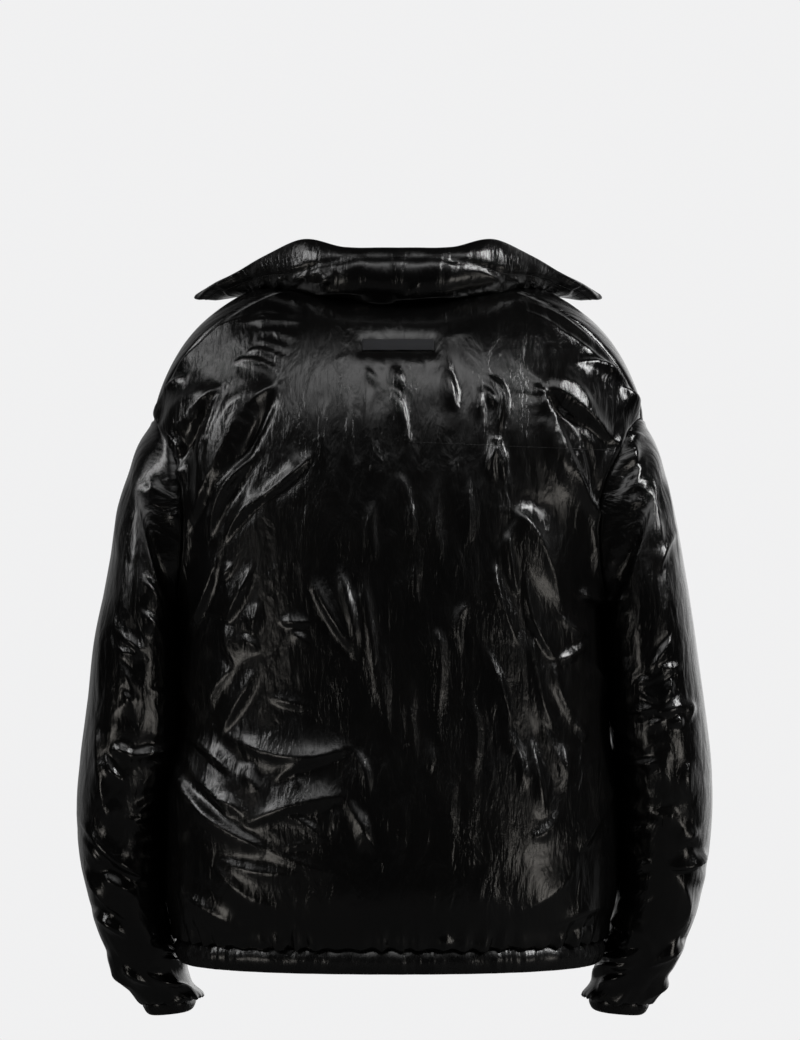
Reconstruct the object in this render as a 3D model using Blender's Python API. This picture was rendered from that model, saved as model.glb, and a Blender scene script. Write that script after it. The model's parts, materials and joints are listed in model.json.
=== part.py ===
"""An oversized, unquilted puffer jacket in its worn shape, open at the neck, the hem and the cuffs.

Metres. +X is the wearer's left, -Y the wearer's front and +Z up. The origin is at the base of the neck.
Each cloth piece is a padded wall: a grid of outer points with the folds raised in it, and a plain inner grid
set back by the wall's thickness. Neighbouring pieces share their seam's points, parted by SEAM_GAP.

The body is described by stations and angles. A station up to 0 is metres below the top of the armhole, and
from 0 to 1 it is the share of the way over the shoulders to the neck seam. An angle of 0 is the wearer's
left side, 90 degrees the back, 180 the right side and 270 (or -90) the front.
"""

import math

import bmesh
import bpy
import numpy as np
from mathutils import Matrix
from mathutils.bvhtree import BVHTree

# Gaps and wall thicknesses
SEAM_GAP = 0.0003
NECK_SEAM_GAP = 0.0004
COLLAR_SET_BACK = 0.0008
BODY_WALL = 0.010
SLEEVE_WALL = 0.008
BINDING_WALL = 0.005

# Levels
HEM_BOTTOM = -0.717
HEM_SEAM = -0.692
UNDERARM = -0.345
ARMHOLE_TOP = -0.130

# How finely the cloth is divided
BACK_COLUMNS = 24
FRONT_COLUMNS = 12
ARMHOLE_STEPS = 12
ARMHOLE_CLOSENESS = 0.6
ARMHOLE_REACH = 12
HEM_GATHERS = 50
CUFF_GATHERS = 20
FINE_STEPS = 240
HALVINGS = 40
ANGLE_STEP = 0.01
STATION_STEP = 0.01
RING_STEP = 0.05
SHARP_EDGE = math.radians(50)

# Where no folds are raised: within this depth of the side seams, and on the side of a sleeve facing the body
CALM_DEPTH = 0.030
CALM_FADE = 0.050
SLEEVE_CALM_COSINE = -0.75
SLEEVE_CALM_FADE = 0.40

# Half width to each side and depth to back and front of the body, with the squareness of its section.
# level,  left,   right,  back,   front,  squareness
BODY_ROWS = (
    (-0.692, 0.2400, 0.2220, 0.152, 0.150, 2.35),
    (-0.655, 0.2500, 0.2340, 0.170, 0.166, 2.40),
    (-0.600, 0.2525, 0.2380, 0.177, 0.174, 2.45),
    (-0.550, 0.2510, 0.2370, 0.178, 0.175, 2.45),
    (-0.510, 0.2440, 0.2340, 0.176, 0.174, 2.45),
    (-0.475, 0.2340, 0.2290, 0.173, 0.171, 2.45),
    (-0.420, 0.2360, 0.2270, 0.172, 0.168, 2.50),
    (-0.345, 0.2385, 0.2220, 0.173, 0.165, 2.55),
    (-0.260, 0.2460, 0.2290, 0.173, 0.160, 2.55),
    (-0.190, 0.2550, 0.2450, 0.170, 0.154, 2.50),
    (-0.160, 0.2610, 0.2580, 0.167, 0.151, 2.45),
    (-0.130, 0.2640, 0.2650, 0.163, 0.146, 2.40),
)

# How far in towards the neck and up towards it the cloth has come, at the sides and at back and front.
# station, side in, side up, end in, end up
YOKE_ROWS = (
    (0.00, 0.000, 0.00, 0.000, 0.00),
    (0.08, 0.006, 0.09, 0.020, 0.10),
    (0.16, 0.028, 0.18, 0.075, 0.21),
    (0.35, 0.13, 0.42, 0.26, 0.47),
    (0.55, 0.31, 0.66, 0.50, 0.71),
    (0.75, 0.59, 0.87, 0.76, 0.89),
    (1.00, 1.00, 1.00, 1.00, 1.00),
)
YOKE_STATIONS = (0.13, 0.28, 0.43, 0.60, 0.79, 1.00)

# Neck seam
NECK_HALF_WIDTH = 0.110
NECK_BACK = 0.088
NECK_FRONT = 0.096
NECK_SQUARENESS = 2.1
# sine of the angle, level
NECK_LEVELS = ((-1.0, -0.050), (-0.6, -0.012), (0.0, 0.019), (0.7, 0.010), (1.0, -0.002))

# Armhole, as angles to each side of a line that leans from the side seam to the shoulder seam
ARMHOLE_TOP_ANGLE = math.radians(12)
ARMHOLE_BACK_SPREAD = math.radians(21)
ARMHOLE_FRONT_SPREAD = math.radians(32)
SHOULDER_SEAM_NECK_ANGLE = math.radians(38)

# Front edge's distance from the middle: straight at the zip, then open in a V.
# level, distance
FRONT_EDGE = (
    (-0.195, 0.0060),
    (-0.175, 0.0115),
    (-0.150, 0.0250),
    (-0.120, 0.0430),
    (-0.090, 0.0600),
    (-0.060, 0.0740),
    (-0.030, 0.0870),
    (-0.005, 0.0960),
)

# Sleeve rings from just past the armhole to the cuff seam: where the ring's outer and inner ends lie.
# outer left, outer right, outer z, inner left, inner right, inner z, middle y, half depth
SLEEVE_ROWS = (
    (0.2800, 0.2780, -0.158, 0.2400, 0.2235, -0.352, 0.002, 0.090),
    (0.2930, 0.2905, -0.200, 0.2400, 0.2240, -0.366, 0.004, 0.098),
    (0.3045, 0.3015, -0.250, 0.2400, 0.2260, -0.384, 0.004, 0.102),
    (0.3140, 0.3105, -0.300, 0.2400, 0.2290, -0.405, 0.004, 0.103),
    (0.3230, 0.3185, -0.350, 0.2400, 0.2305, -0.430, 0.003, 0.102),
    (0.3305, 0.3255, -0.400, 0.2405, 0.2320, -0.460, 0.002, 0.100),
    (0.3375, 0.3325, -0.450, 0.2450, 0.2355, -0.492, 0.000, 0.098),
    (0.3440, 0.3385, -0.500, 0.2510, 0.2390, -0.524, -0.004, 0.096),
    (0.3480, 0.3405, -0.545, 0.2540, 0.2405, -0.556, -0.010, 0.094),
    (0.3475, 0.3390, -0.585, 0.2550, 0.2405, -0.588, -0.017, 0.091),
    (0.3430, 0.3345, -0.625, 0.2550, 0.2405, -0.620, -0.025, 0.087),
    (0.3350, 0.3270, -0.660, 0.2530, 0.2390, -0.652, -0.033, 0.082),
    (0.3250, 0.3160, -0.695, 0.2490, 0.2345, -0.683, -0.041, 0.076),
    (0.3125, 0.3035, -0.726, 0.2480, 0.2300, -0.713, -0.048, 0.067),
    (0.3000, 0.2900, -0.750, 0.2350, 0.2180, -0.741, -0.053, 0.056),
    (0.2830, 0.2780, -0.768, 0.2230, 0.2100, -0.762, -0.056, 0.044),
)
SLEEVE_SQUARENESS = 2.3
CUFF_HEIGHT = 0.022
CUFF_TAPER = 0.93
CUFF_GATHER = 0.0012
CUFF_TUCK = 0.0020
HEM_GATHER = 0.0012
HEM_ROLL = 0.0025
HEM_TUCK = 0.0020

# Collar on the wearer's left, from its front corner to the nape: a point on its roll, half way up it, and one
# on its free edge. It stands round the sides of the neck and rolls over outward towards its front corners.
# share, roll x, roll y, roll z, edge x, edge y, edge z
COLLAR_LINES = (
    (0.00, 0.1400, -0.0640, 0.0140, 0.2200, -0.0500, -0.0020),
    (0.10, 0.1370, -0.0480, 0.0190, 0.2080, -0.0280, -0.0110),
    (0.20, 0.1320, -0.0250, 0.0260, 0.1940, -0.0050, -0.0150),
    (0.32, 0.1230, 0.0100, 0.0340, 0.1760, 0.0250, -0.0030),
    (0.45, 0.1080, 0.0480, 0.0380, 0.1500, 0.0600, 0.0120),
    (0.60, 0.0900, 0.0830, 0.0330, 0.1130, 0.0940, 0.0300),
    (0.80, 0.0520, 0.1130, 0.0200, 0.0570, 0.1190, 0.0450),
    (1.00, 0.0000, 0.1220, 0.0150, 0.0000, 0.1250, 0.0480),
)
# How far the collar's two faces lie inside that surface: its free edge is a soft roll.
# share of the height, outer face, inner face
COLLAR_FACES = (
    (0.00, 0.0000, 0.0100),
    (0.17, -0.0005, 0.0120),
    (0.34, -0.0010, 0.0140),
    (0.51, -0.0010, 0.0150),
    (0.68, -0.0005, 0.0155),
    (0.84, 0.0005, 0.0150),
    (0.94, 0.0025, 0.0130),
    (1.00, 0.0055, 0.0100),
)

# Folds: the lines of ridges (height above 0) and troughs, each a soft hump to both sides of its line.
# station, x, to station, x, half width, height
BACK_FOLDS = (
    (0.17, 0.127, -0.110, 0.232, 0.020, 0.011),
    (-0.058, 0.102, -0.125, 0.183, 0.018, 0.008),
    (0.12, 0.166, -0.050, 0.215, 0.016, -0.006),
    (0.15, -0.160, -0.102, -0.214, 0.020, 0.010),
    (-0.119, -0.123, -0.201, -0.158, 0.024, 0.007),
    (0.30, 0.020, -0.030, 0.012, 0.016, 0.006),
    (0.26, -0.028, -0.020, -0.040, 0.016, 0.006),
    (-0.070, 0.034, -0.230, 0.022, 0.018, 0.005),
    (-0.050, -0.060, -0.180, -0.048, 0.018, -0.005),
    (-0.170, 0.120, -0.300, 0.090, 0.022, 0.006),
    (-0.341, 0.226, -0.426, 0.198, 0.018, -0.008),
    (-0.426, 0.198, -0.455, 0.120, 0.018, -0.006),
    (-0.345, 0.222, -0.376, 0.172, 0.016, 0.007),
    (-0.370, 0.150, -0.445, 0.060, 0.020, 0.007),
    (-0.236, -0.097, -0.380, -0.168, 0.020, 0.007),
    (-0.300, -0.185, -0.400, -0.215, 0.018, -0.005),
    (-0.470, -0.060, -0.520, -0.150, 0.022, 0.005),
)
FRONT_FOLDS = (
    (0.10, 0.150, -0.120, 0.212, 0.020, 0.009),
    (0.10, -0.155, -0.130, -0.205, 0.020, 0.009),
    (-0.150, 0.070, -0.260, 0.140, 0.022, 0.006),
    (-0.140, -0.060, -0.280, -0.130, 0.022, 0.006),
    (-0.330, 0.200, -0.400, 0.110, 0.020, -0.007),
    (-0.350, -0.190, -0.420, -0.100, 0.020, -0.007),
    (-0.430, 0.060, -0.500, 0.160, 0.022, 0.006),
    (-0.450, -0.050, -0.520, -0.150, 0.022, 0.005),
)
# turn from the outer side in degrees (over the back above 0), ring, to turn, ring, half width, height
SLEEVE_FOLDS = (
    (20, 2.0, 100, 4.5, 0.016, -0.006),
    (40, 5.0, 120, 6.0, 0.016, 0.006),
    (60, 6.6, 135, 7.6, 0.014, -0.006),
    (10, 8.0, 90, 7.4, 0.018, 0.006),
    (70, 9.0, 140, 9.2, 0.015, 0.006),
    (30, 10.2, 110, 11.4, 0.015, -0.005),
    (0, 11.5, 80, 13.2, 0.014, 0.005),
    (-40, 3.0, -110, 5.0, 0.018, 0.006),
    (-60, 6.5, -140, 7.4, 0.016, -0.006),
    (-30, 8.5, -110, 8.2, 0.018, 0.006),
    (-70, 10.0, -130, 10.6, 0.015, -0.005),
    (-20, 11.6, -100, 13.0, 0.015, 0.005),
)
# share of the way round from the left front corner, share of the height, to share, share, half width, height
COLLAR_FOLDS = (
    (0.10, 0.3, 0.16, 0.8, 0.012, 0.004),
    (0.24, 0.2, 0.30, 0.6, 0.012, 0.005),
    (0.42, 0.1, 0.45, 0.6, 0.011, 0.005),
    (0.52, 0.1, 0.54, 0.5, 0.011, -0.004),
    (0.63, 0.2, 0.60, 0.6, 0.012, 0.005),
    (0.78, 0.2, 0.72, 0.7, 0.012, 0.004),
    (0.90, 0.3, 0.86, 0.8, 0.012, 0.004),
)

# Zip: half section as (away from the cloth's edge, above its surface), round the tape and its row of teeth
ZIP_SECTION = (
    (0.00050, -0.0020),
    (0.00320, -0.0020),
    (0.00320, -0.0005),
    (0.00585, -0.0005),
    (0.00585, -0.0045),
    (0.00320, -0.0045),
    (0.00320, -0.0035),
    (0.00050, -0.0035),
)
TEETH_FACE = -0.0005

# Zip slider, in its own axes: X across, Y out of the jacket from the face of the teeth, Z up the zip
SLIDER_STATION = -0.074
SLIDER_WIDTH = 0.0092
SLIDER_HEIGHT = 0.0120
SLIDER_THICKNESS = 0.0022
PIN_STANDOFF = 0.0056
PIN_RADIUS = 0.0009
PIN_HEIGHT = 0.0035
EAR_THICKNESS = 0.0012
EAR_GAP = 0.0058
EAR_RADIUS = 0.0019
PULL_WIDTH = 0.0050
PULL_LENGTH = 0.0300
PULL_THICKNESS = 0.0016
PULL_HOLE_RADIUS = 0.0013
BARREL_RADIUS = 0.0024
ROUND_SEGMENTS = 16

# Label on the upper back
LABEL_WIDTH = 0.076
LABEL_TOP = -0.0490
LABEL_BOTTOM = -0.0620
LABEL_THICKNESS = 0.0012
LABEL_CLEARANCE = 0.0007
LABEL_COLUMNS = 12
LABEL_ROWS = 2

# name: base colour, roughness, metallic
MATERIALS = {
    "coated_nylon": ((0.006, 0.006, 0.007), 0.28, 0.0),
    "elastic_binding": ((0.008, 0.008, 0.009), 0.45, 0.0),
    "zip_black": ((0.010, 0.010, 0.011), 0.50, 0.0),
    "zip_metal": ((0.030, 0.030, 0.032), 0.30, 1.0),
    "label_weave": ((0.022, 0.022, 0.024), 0.80, 0.0),
}


def smooth_row(table, at):
    """The other columns of a table at a value of its first one, on a smooth curve through its rows."""
    rows = np.asarray(table, float)
    keys, values = rows[:, 0], rows[:, 1:]
    slopes = np.gradient(values, keys, axis=0)
    at = min(max(at, keys[0]), keys[-1])
    i = min(int(np.searchsorted(keys, at, side="right")) - 1, len(keys) - 2)
    span = keys[i + 1] - keys[i]
    t = (at - keys[i]) / span
    return (
        values[i] * (2 * t**3 - 3 * t**2 + 1)
        + slopes[i] * span * (t**3 - 2 * t**2 + t)
        + values[i + 1] * (3 * t**2 - 2 * t**3)
        + slopes[i + 1] * span * (t**3 - t**2)
    )


def unit(vectors):
    """Each vector at length 1. A zero vector stays zero."""
    length = np.linalg.norm(vectors, axis=-1, keepdims=True)
    return vectors / np.maximum(length, 1e-12)


def signed_power(values, power):
    return np.sign(values) * np.abs(values) ** power


def flat_section(angles, left, right, back, front, squareness):
    """X and Y of a rounded-square section at these angles."""
    across = signed_power(np.cos(angles), 2 / squareness)
    along = signed_power(np.sin(angles), 2 / squareness)
    x = across * np.where(across > 0, left, right)
    y = along * np.where(along > 0, back, front)
    return x, y


# ---- Body -------------------------------------------------------------------------------------------------


def body_points(station, angles):
    """Points of the body's plain outer surface."""
    angles = np.asarray(angles, float)
    level = ARMHOLE_TOP + min(station, 0.0)
    x, y = flat_section(angles, *smooth_row(BODY_ROWS, level))
    z = np.full_like(x, level)
    if station > 0:
        side_in, side_up, end_in, end_up = smooth_row(YOKE_ROWS, station)
        endness = np.sin(angles) ** 2
        inward = side_in + (end_in - side_in) * endness
        upward = side_up + (end_up - side_up) * endness
        neck_x, neck_y = flat_section(
            angles, NECK_HALF_WIDTH, NECK_HALF_WIDTH, NECK_BACK, NECK_FRONT, NECK_SQUARENESS
        )
        neck_z = np.array([smooth_row(NECK_LEVELS, s)[0] for s in np.sin(angles)])
        x = x + (neck_x - x) * inward
        y = y + (neck_y - y) * inward
        z = z + (neck_z - z) * upward
    return np.stack([x, y, z], axis=-1)


def body_normals(station, angles):
    """Outward unit normals of that surface."""
    here = body_points(station, angles)
    across = body_points(station, angles + ANGLE_STEP) - body_points(station, angles - ANGLE_STEP)
    up = unit(body_points(min(station + STATION_STEP, 1.0), angles) - here)
    up = up + unit(here - body_points(station - STATION_STEP, angles))
    return unit(np.cross(across, up))


def angle_at_x(station, x, low, high):
    """The angle between low and high, over which X falls or rises steadily, where the surface has this X."""
    rising = body_points(station, [high])[0, 0] > body_points(station, [low])[0, 0]
    for _ in range(HALVINGS):
        middle = (low + high) / 2
        if (body_points(station, [middle])[0, 0] < x) == rising:
            low = middle
        else:
            high = middle
    return (low + high) / 2


def armhole_turn(station):
    """Turn round the armhole from its top, 0, to the underarm, pi, at this station."""
    share = (station - (UNDERARM - ARMHOLE_TOP)) / (ARMHOLE_TOP - UNDERARM)
    return math.acos(min(max(2 * share - 1, -1.0), 1.0))


def armhole_lean(turn):
    """Angle on the wearer's left of the line down the middle of the armhole."""
    return ARMHOLE_TOP_ANGLE * (math.cos(turn) + 1) / 2


def armhole_spread(turn):
    """Angle from that line to the armhole's edge, above 0 over the back and below 0 over the front."""
    return math.sin(turn) * (ARMHOLE_BACK_SPREAD if math.sin(turn) > 0 else ARMHOLE_FRONT_SPREAD)


def side_line(station):
    """Angle on the wearer's left of the side seam, the middle of the armhole and the shoulder seam."""
    if station < 0:
        return armhole_lean(armhole_turn(station))
    return ARMHOLE_TOP_ANGLE + (SHOULDER_SEAM_NECK_ANGLE - ARMHOLE_TOP_ANGLE) * station


def front_edge_angle(station, side):
    """Angle of the zip edge of the front on this side."""
    middle, seam = math.radians(90), 0.0
    for _ in range(HALVINGS):
        angle = (middle + seam) / 2
        mirrored = -angle if side > 0 else math.pi + angle
        x, _, z = body_points(station, [mirrored])[0]
        if abs(x) > smooth_row(FRONT_EDGE, z)[0]:
            seam = angle
        else:
            middle = angle
    return mirrored


def armhole_stations():
    """Stations down the armhole from its top to the underarm, closer together at both."""
    steps = np.linspace(0, 1, ARMHOLE_STEPS + 1)
    rounded = (1 - np.cos(math.pi * steps)) / 2
    shares = ARMHOLE_CLOSENESS * rounded + (1 - ARMHOLE_CLOSENESS) * steps
    return (UNDERARM - ARMHOLE_TOP) * shares


def stations():
    """Rows of the body's pieces, from the hem seam to the neck seam."""
    below = np.linspace(HEM_SEAM - ARMHOLE_TOP, UNDERARM - ARMHOLE_TOP, 11)[:-1]
    return np.concatenate([below, armhole_stations()[::-1], YOKE_STATIONS])


def armhole_turns():
    """Turns round the whole armhole at those stations, down over the back and up over the front."""
    down = np.array([armhole_turn(station) for station in armhole_stations()])
    return np.concatenate([down, 2 * math.pi - down[-2:0:-1]])


def in_armhole(station):
    return UNDERARM - ARMHOLE_TOP < station < 0


def even_angles(station, start, end, columns, trims=(0.0, 0.0)):
    """Angles evenly spaced by length from start to end, less a trim in metres at each end."""
    fine = np.linspace(start, end, FINE_STEPS)
    points = body_points(station, fine)
    length = np.concatenate([[0], np.cumsum(np.linalg.norm(np.diff(points, axis=0), axis=1))])
    wanted = np.linspace(trims[0], length[-1] - trims[1], columns + 1)
    return np.interp(wanted, length, fine)


def make_way(angles, spread, from_start):
    """Moves the columns near one end of the row aside by the armhole's spread."""
    columns = np.arange(len(angles)) if from_start else np.arange(len(angles))[::-1]
    return angles + spread * np.clip(1 - columns / ARMHOLE_REACH, 0, 1) ** 2


def armhole_outward(side, turn):
    """Unit vector through the wall at the armhole, straight down at its foot."""
    c = math.cos(turn)
    across = 0.75 + 1.1 * c + 0.35 * c * c
    return unit(np.array([side * across, math.sin(turn), c]))


def neck_outward(angles):
    """Unit vectors through the wall at the neck seam, level and a little up."""
    return unit(np.stack([np.cos(angles), np.sin(angles), np.full_like(angles, 0.3)], axis=-1))


# ---- Folds ------------------------------------------------------------------------------------------------


def relief(points, folds):
    """Height of the folds at these points. A fold is (start, end, half width, height)."""
    total = np.zeros(points.shape[:-1])
    for start, end, half_width, height in folds:
        along = end - start
        share = np.clip(((points - start) @ along) / (along @ along), 0, 1)
        away = np.linalg.norm(points - (start + share[..., None] * along), axis=-1)
        taper = 0.55 + 0.45 * np.sin(math.pi * share)
        total = total + height * taper * np.exp(-((away / half_width) ** 2))
    return total


def body_folds(table, low, high):
    """Folds of the back or the front, with their ends set on the surface between two angles."""
    folds = []
    for row in table:
        ends = []
        for station, x in (row[0:2], row[2:4]):
            angle = angle_at_x(station, x, low, high)
            ends.append(body_points(station, [angle])[0])
        folds.append((*ends, row[4], row[5]))
    return folds


def calm_at_sides(points):
    """1 over the back and the front, falling to 0 at the side seams, where the sleeves lie."""
    return np.clip((np.abs(points[..., 1]) - CALM_DEPTH) / CALM_FADE, 0, 1)


# ---- Meshes -----------------------------------------------------------------------------------------------


def seam_triangles(outer, inner, points):
    """Two triangles for each step of a seam face, divided by the diagonal from its higher outer corner."""
    faces = []
    for a in range(len(outer) - 1):
        b = a + 1
        if points[outer[a]][2] > points[outer[b]][2]:
            faces += [(outer[a], outer[b], inner[b]), (outer[a], inner[b], inner[a])]
        else:
            faces += [(outer[a], outer[b], inner[a]), (outer[b], inner[b], inner[a])]
    return faces


def grid_triangles(grid, points):
    """Two triangles for each square of a grid of point numbers, divided by the square's shorter diagonal."""
    faces = []
    for low, high in zip(grid[:-1], grid[1:]):
        for a, b, c, d in zip(low[:-1], low[1:], high[1:], high[:-1]):
            if np.linalg.norm(points[a] - points[c]) <= np.linalg.norm(points[b] - points[d]):
                faces += [(a, b, c), (a, c, d)]
            else:
                faces += [(a, b, d), (b, c, d)]
    return faces


def wall_mesh(outer, inner, closed=False):
    """Points and faces of a wall between two grids of rows by columns. A closed one joins its end columns."""
    rows, columns = outer.shape[:2]
    points = np.concatenate([outer.reshape(-1, 3), inner.reshape(-1, 3)])
    outside = np.arange(rows * columns).reshape(rows, columns)
    inside = outside + rows * columns
    if closed:
        outside = np.hstack([outside, outside[:, :1]])
        inside = np.hstack([inside, inside[:, :1]])
    faces = grid_triangles(outside, points) + grid_triangles(inside, points)
    for r in (0, -1):
        faces += seam_triangles(outside[r], inside[r], points)
    if not closed:
        for c in (0, -1):
            faces += seam_triangles(outside[:, c], inside[:, c], points)
    return points, faces


def make_material(name):
    colour, roughness, metallic = MATERIALS[name]
    material = bpy.data.materials.new(name)
    material.use_nodes = True
    shader = material.node_tree.nodes["Principled BSDF"]
    shader.inputs["Base Color"].default_value = (*colour, 1.0)
    shader.inputs["Roughness"].default_value = roughness
    shader.inputs["Metallic"].default_value = metallic
    material.diffuse_color = (*colour, 1.0)
    return material


def link(name, mesh, material, parent):
    """An object for this mesh, smooth but for its wall's edges."""
    mesh.materials.append(material)
    mesh.shade_smooth()
    mesh.set_sharp_from_angle(angle=SHARP_EDGE)
    item = bpy.data.objects.new(name, mesh)
    item.parent = parent
    bpy.context.scene.collection.objects.link(item)
    return item


def mesh_object(name, points, faces, material, parent):
    mesh = bpy.data.meshes.new(name)
    mesh.from_pydata([tuple(p) for p in points], [], [tuple(int(i) for i in f) for f in faces])
    shape = bmesh.new()
    shape.from_mesh(mesh)
    bmesh.ops.recalc_face_normals(shape, faces=shape.faces)
    shape.to_mesh(mesh)
    shape.free()
    return link(name, mesh, material, parent)


# ---- Body pieces ------------------------------------------------------------------------------------------


def body_piece(edges, columns, folds):
    """Outer and inner grids and outward vectors of a body piece between two edges.

    edges(station) gives the start and end angle, and for each end its side: 1 for a seam on the wearer's
    left, -1 on the right and 0 for the zip edge. A seam is trimmed by half its gap, but not at the armhole,
    where the sleeve stands off instead.
    """
    outer, inner, outward = [], [], []
    for station in stations():
        start, end, side_start, side_end = edges(station)
        trim = 0.0 if in_armhole(station) else SEAM_GAP / 2
        trims = (trim * abs(side_start), trim * abs(side_end))
        angles = even_angles(station, start, end, columns, trims)
        if in_armhole(station):
            turn = armhole_turn(station)
            over_back = 1 if math.sin(angles[columns // 2]) > 0 else -1
            spread = armhole_spread(over_back * turn)
            angles = make_way(angles, spread * side_start, True)
            angles = make_way(angles, spread * side_end, False)
        plain = body_points(station, angles)
        normals = body_normals(station, angles)
        for column, side in ((0, side_start), (-1, side_end)):
            if side and in_armhole(station):
                normals[column] = armhole_outward(side, over_back * turn)
        if station == 1.0:
            normals = neck_outward(angles)
        raised = relief(plain, folds) * calm_at_sides(plain)
        raised[[0, -1]] = 0.0
        if station == 1.0:
            raised[:] = 0.0
        outer.append(plain + normals * raised[:, None])
        inner.append(plain - normals * BODY_WALL)
        outward.append(normals)
    return np.array(outer), np.array(inner), np.array(outward)


def back_edges(station):
    return side_line(station), math.pi - side_line(station), 1, -1


def front_left_edges(station):
    return front_edge_angle(station, 1), side_line(station), 0, 1


def front_right_edges(station):
    return math.pi - side_line(station), front_edge_angle(station, -1), -1, 0


# ---- Sleeves and cuffs ------------------------------------------------------------------------------------


def sleeve_ring(side, ring, turns):
    """Points of the sleeve's plain outer surface. Ring 0 is the first row of the table."""
    rows = [(index, *row) for index, row in enumerate(SLEEVE_ROWS)]
    left_x, right_x, outer_z, left_in, right_in, inner_z, middle_y, half_depth = smooth_row(rows, ring)
    outer_x, inner_x = (left_x, left_in) if side > 0 else (-right_x, -right_in)
    reach = signed_power(np.cos(turns), 2 / SLEEVE_SQUARENESS)
    depth = signed_power(np.sin(turns), 2 / SLEEVE_SQUARENESS)
    x = (outer_x + inner_x) / 2 + reach * (outer_x - inner_x) / 2
    z = (outer_z + inner_z) / 2 + reach * (outer_z - inner_z) / 2
    return np.stack([x, middle_y + depth * half_depth, z], axis=-1)


def sleeve_normals(side, ring, turns):
    last = len(SLEEVE_ROWS) - 1
    after, before = min(ring + RING_STEP, last), max(ring - RING_STEP, 0)
    around = sleeve_ring(side, ring, turns + RING_STEP) - sleeve_ring(side, ring, turns - RING_STEP)
    down = sleeve_ring(side, after, turns) - sleeve_ring(side, before, turns)
    return unit(np.cross(around, down)) * -side


def armhole_ring(side, turns):
    """Points of the armhole seam on the body, and the unit vectors through the wall there."""
    points, outward = [], []
    for turn in turns:
        station = (UNDERARM - ARMHOLE_TOP) * (1 - math.cos(turn)) / 2
        angle = armhole_lean(turn) + armhole_spread(turn)
        points.append(body_points(station, [angle if side > 0 else math.pi - angle])[0])
        outward.append(armhole_outward(side, turn))
    return np.array(points), np.array(outward)


def sleeve_folds(side):
    folds = []
    for turn, ring, to_turn, to_ring, half_width, height in SLEEVE_FOLDS:
        start = sleeve_ring(side, ring, np.radians([turn]))[0]
        end = sleeve_ring(side, to_ring, np.radians([to_turn]))[0]
        folds.append((start, end, half_width, height))
    return folds


def sleeve_grids(side, turns):
    """Outer and inner grids of a sleeve, from the armhole seam to the cuff seam."""
    seam, through = armhole_ring(side, turns)
    along = np.roll(seam, -1, axis=0) - np.roll(seam, 1, axis=0)
    away = unit(np.cross(along, through))
    away = away * np.sign(away[:, :1] * side)
    first = seam + away * SEAM_GAP
    outer, inner = [first], [first - through * BODY_WALL]
    calm = np.clip((np.cos(turns) - SLEEVE_CALM_COSINE) / SLEEVE_CALM_FADE, 0, 1)
    folds = sleeve_folds(side)
    last = len(SLEEVE_ROWS) - 1
    for ring in range(last + 1):
        plain = sleeve_ring(side, ring, turns)
        normals = sleeve_normals(side, ring, turns)
        if ring == last:
            normals = unit(plain - plain.mean(axis=0))
        raised = relief(plain, folds) * calm if ring < last else np.zeros(len(turns))
        outer.append(plain + normals * raised[:, None])
        inner.append(plain - normals * SLEEVE_WALL)
    return np.array(outer), np.array(inner)


def cuff_grids(side, turns):
    """The narrow binding below the sleeve: a short tube drawn in, with its gathers."""
    last = len(SLEEVE_ROWS) - 1
    top = sleeve_ring(side, last, turns)
    middle = top.mean(axis=0)
    quarter = len(turns) // 4
    axis = unit(np.cross(top[quarter] - middle, top[0] - middle))
    axis = axis * -np.sign(axis[2])
    ripple = CUFF_GATHER * (np.arange(len(turns)) % 2 * 2 - 1)[:, None]
    outer, inner = [], []
    for share in (0.0, 0.5, 1.0):
        scale = 1 + (CUFF_TAPER - 1) * share
        outline = middle + (top - middle) * scale + axis * (SEAM_GAP + CUFF_HEIGHT * share)
        radial = unit(top - middle)
        outer.append(outline + radial * (ripple - CUFF_TUCK))
        inner.append(outline - radial * (BINDING_WALL + CUFF_TUCK))
    return np.array(outer), np.array(inner)


# ---- Hem --------------------------------------------------------------------------------------------------


def hem_grids():
    """The casing below the body, from front edge to front edge, with its gathers."""
    station = HEM_SEAM - ARMHOLE_TOP
    start, end = (front_edge_angle(station, side) for side in (1, -1))
    angles = even_angles(station, start, end, 2 * HEM_GATHERS)
    plain = body_points(station, angles)
    normals = unit(body_normals(station, angles) * (1, 1, 0))
    ripple = HEM_GATHER * (np.arange(2 * HEM_GATHERS + 1) % 2 * 2 - 1)
    ripple[:2] = ripple[-2:] = 0
    drop = HEM_SEAM - SEAM_GAP - HEM_BOTTOM
    outer, inner = [], []
    for share, bulge in ((1.0, -HEM_TUCK), (0.5, HEM_ROLL), (0.0, -HEM_TUCK / 2)):
        level = np.array([0, 0, -SEAM_GAP - drop * share])
        outer.append(plain + level + normals * (bulge + ripple)[:, None])
        inner.append(plain + level - normals * (BINDING_WALL + HEM_TUCK))
    return np.array(outer), np.array(inner), np.array([normals] * 3)


# ---- Collar -----------------------------------------------------------------------------------------------


def collar_plain(seam):
    """Plain outer surface of the collar, in rows from these neck seam points to its free edge."""
    run = np.concatenate([[0], np.cumsum(np.linalg.norm(np.diff(seam, axis=0), axis=1))])
    shares = run / run[-1]
    lines = np.array([smooth_row(COLLAR_LINES, 1 - abs(2 * share - 1)) for share in shares])
    mirror = np.where(shares <= 0.5, 1, -1)[:, None] * (1, 0, 0) + (0, 1, 1)
    roll, edge = lines[:, :3] * mirror, lines[:, 3:] * mirror
    pull = 2 * roll - (seam + edge) / 2
    rows = []
    for t in np.array(COLLAR_FACES)[:, 0]:
        rows.append(seam * (1 - t) ** 2 + pull * 2 * t * (1 - t) + edge * t**2)
    return np.array(rows)


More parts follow.
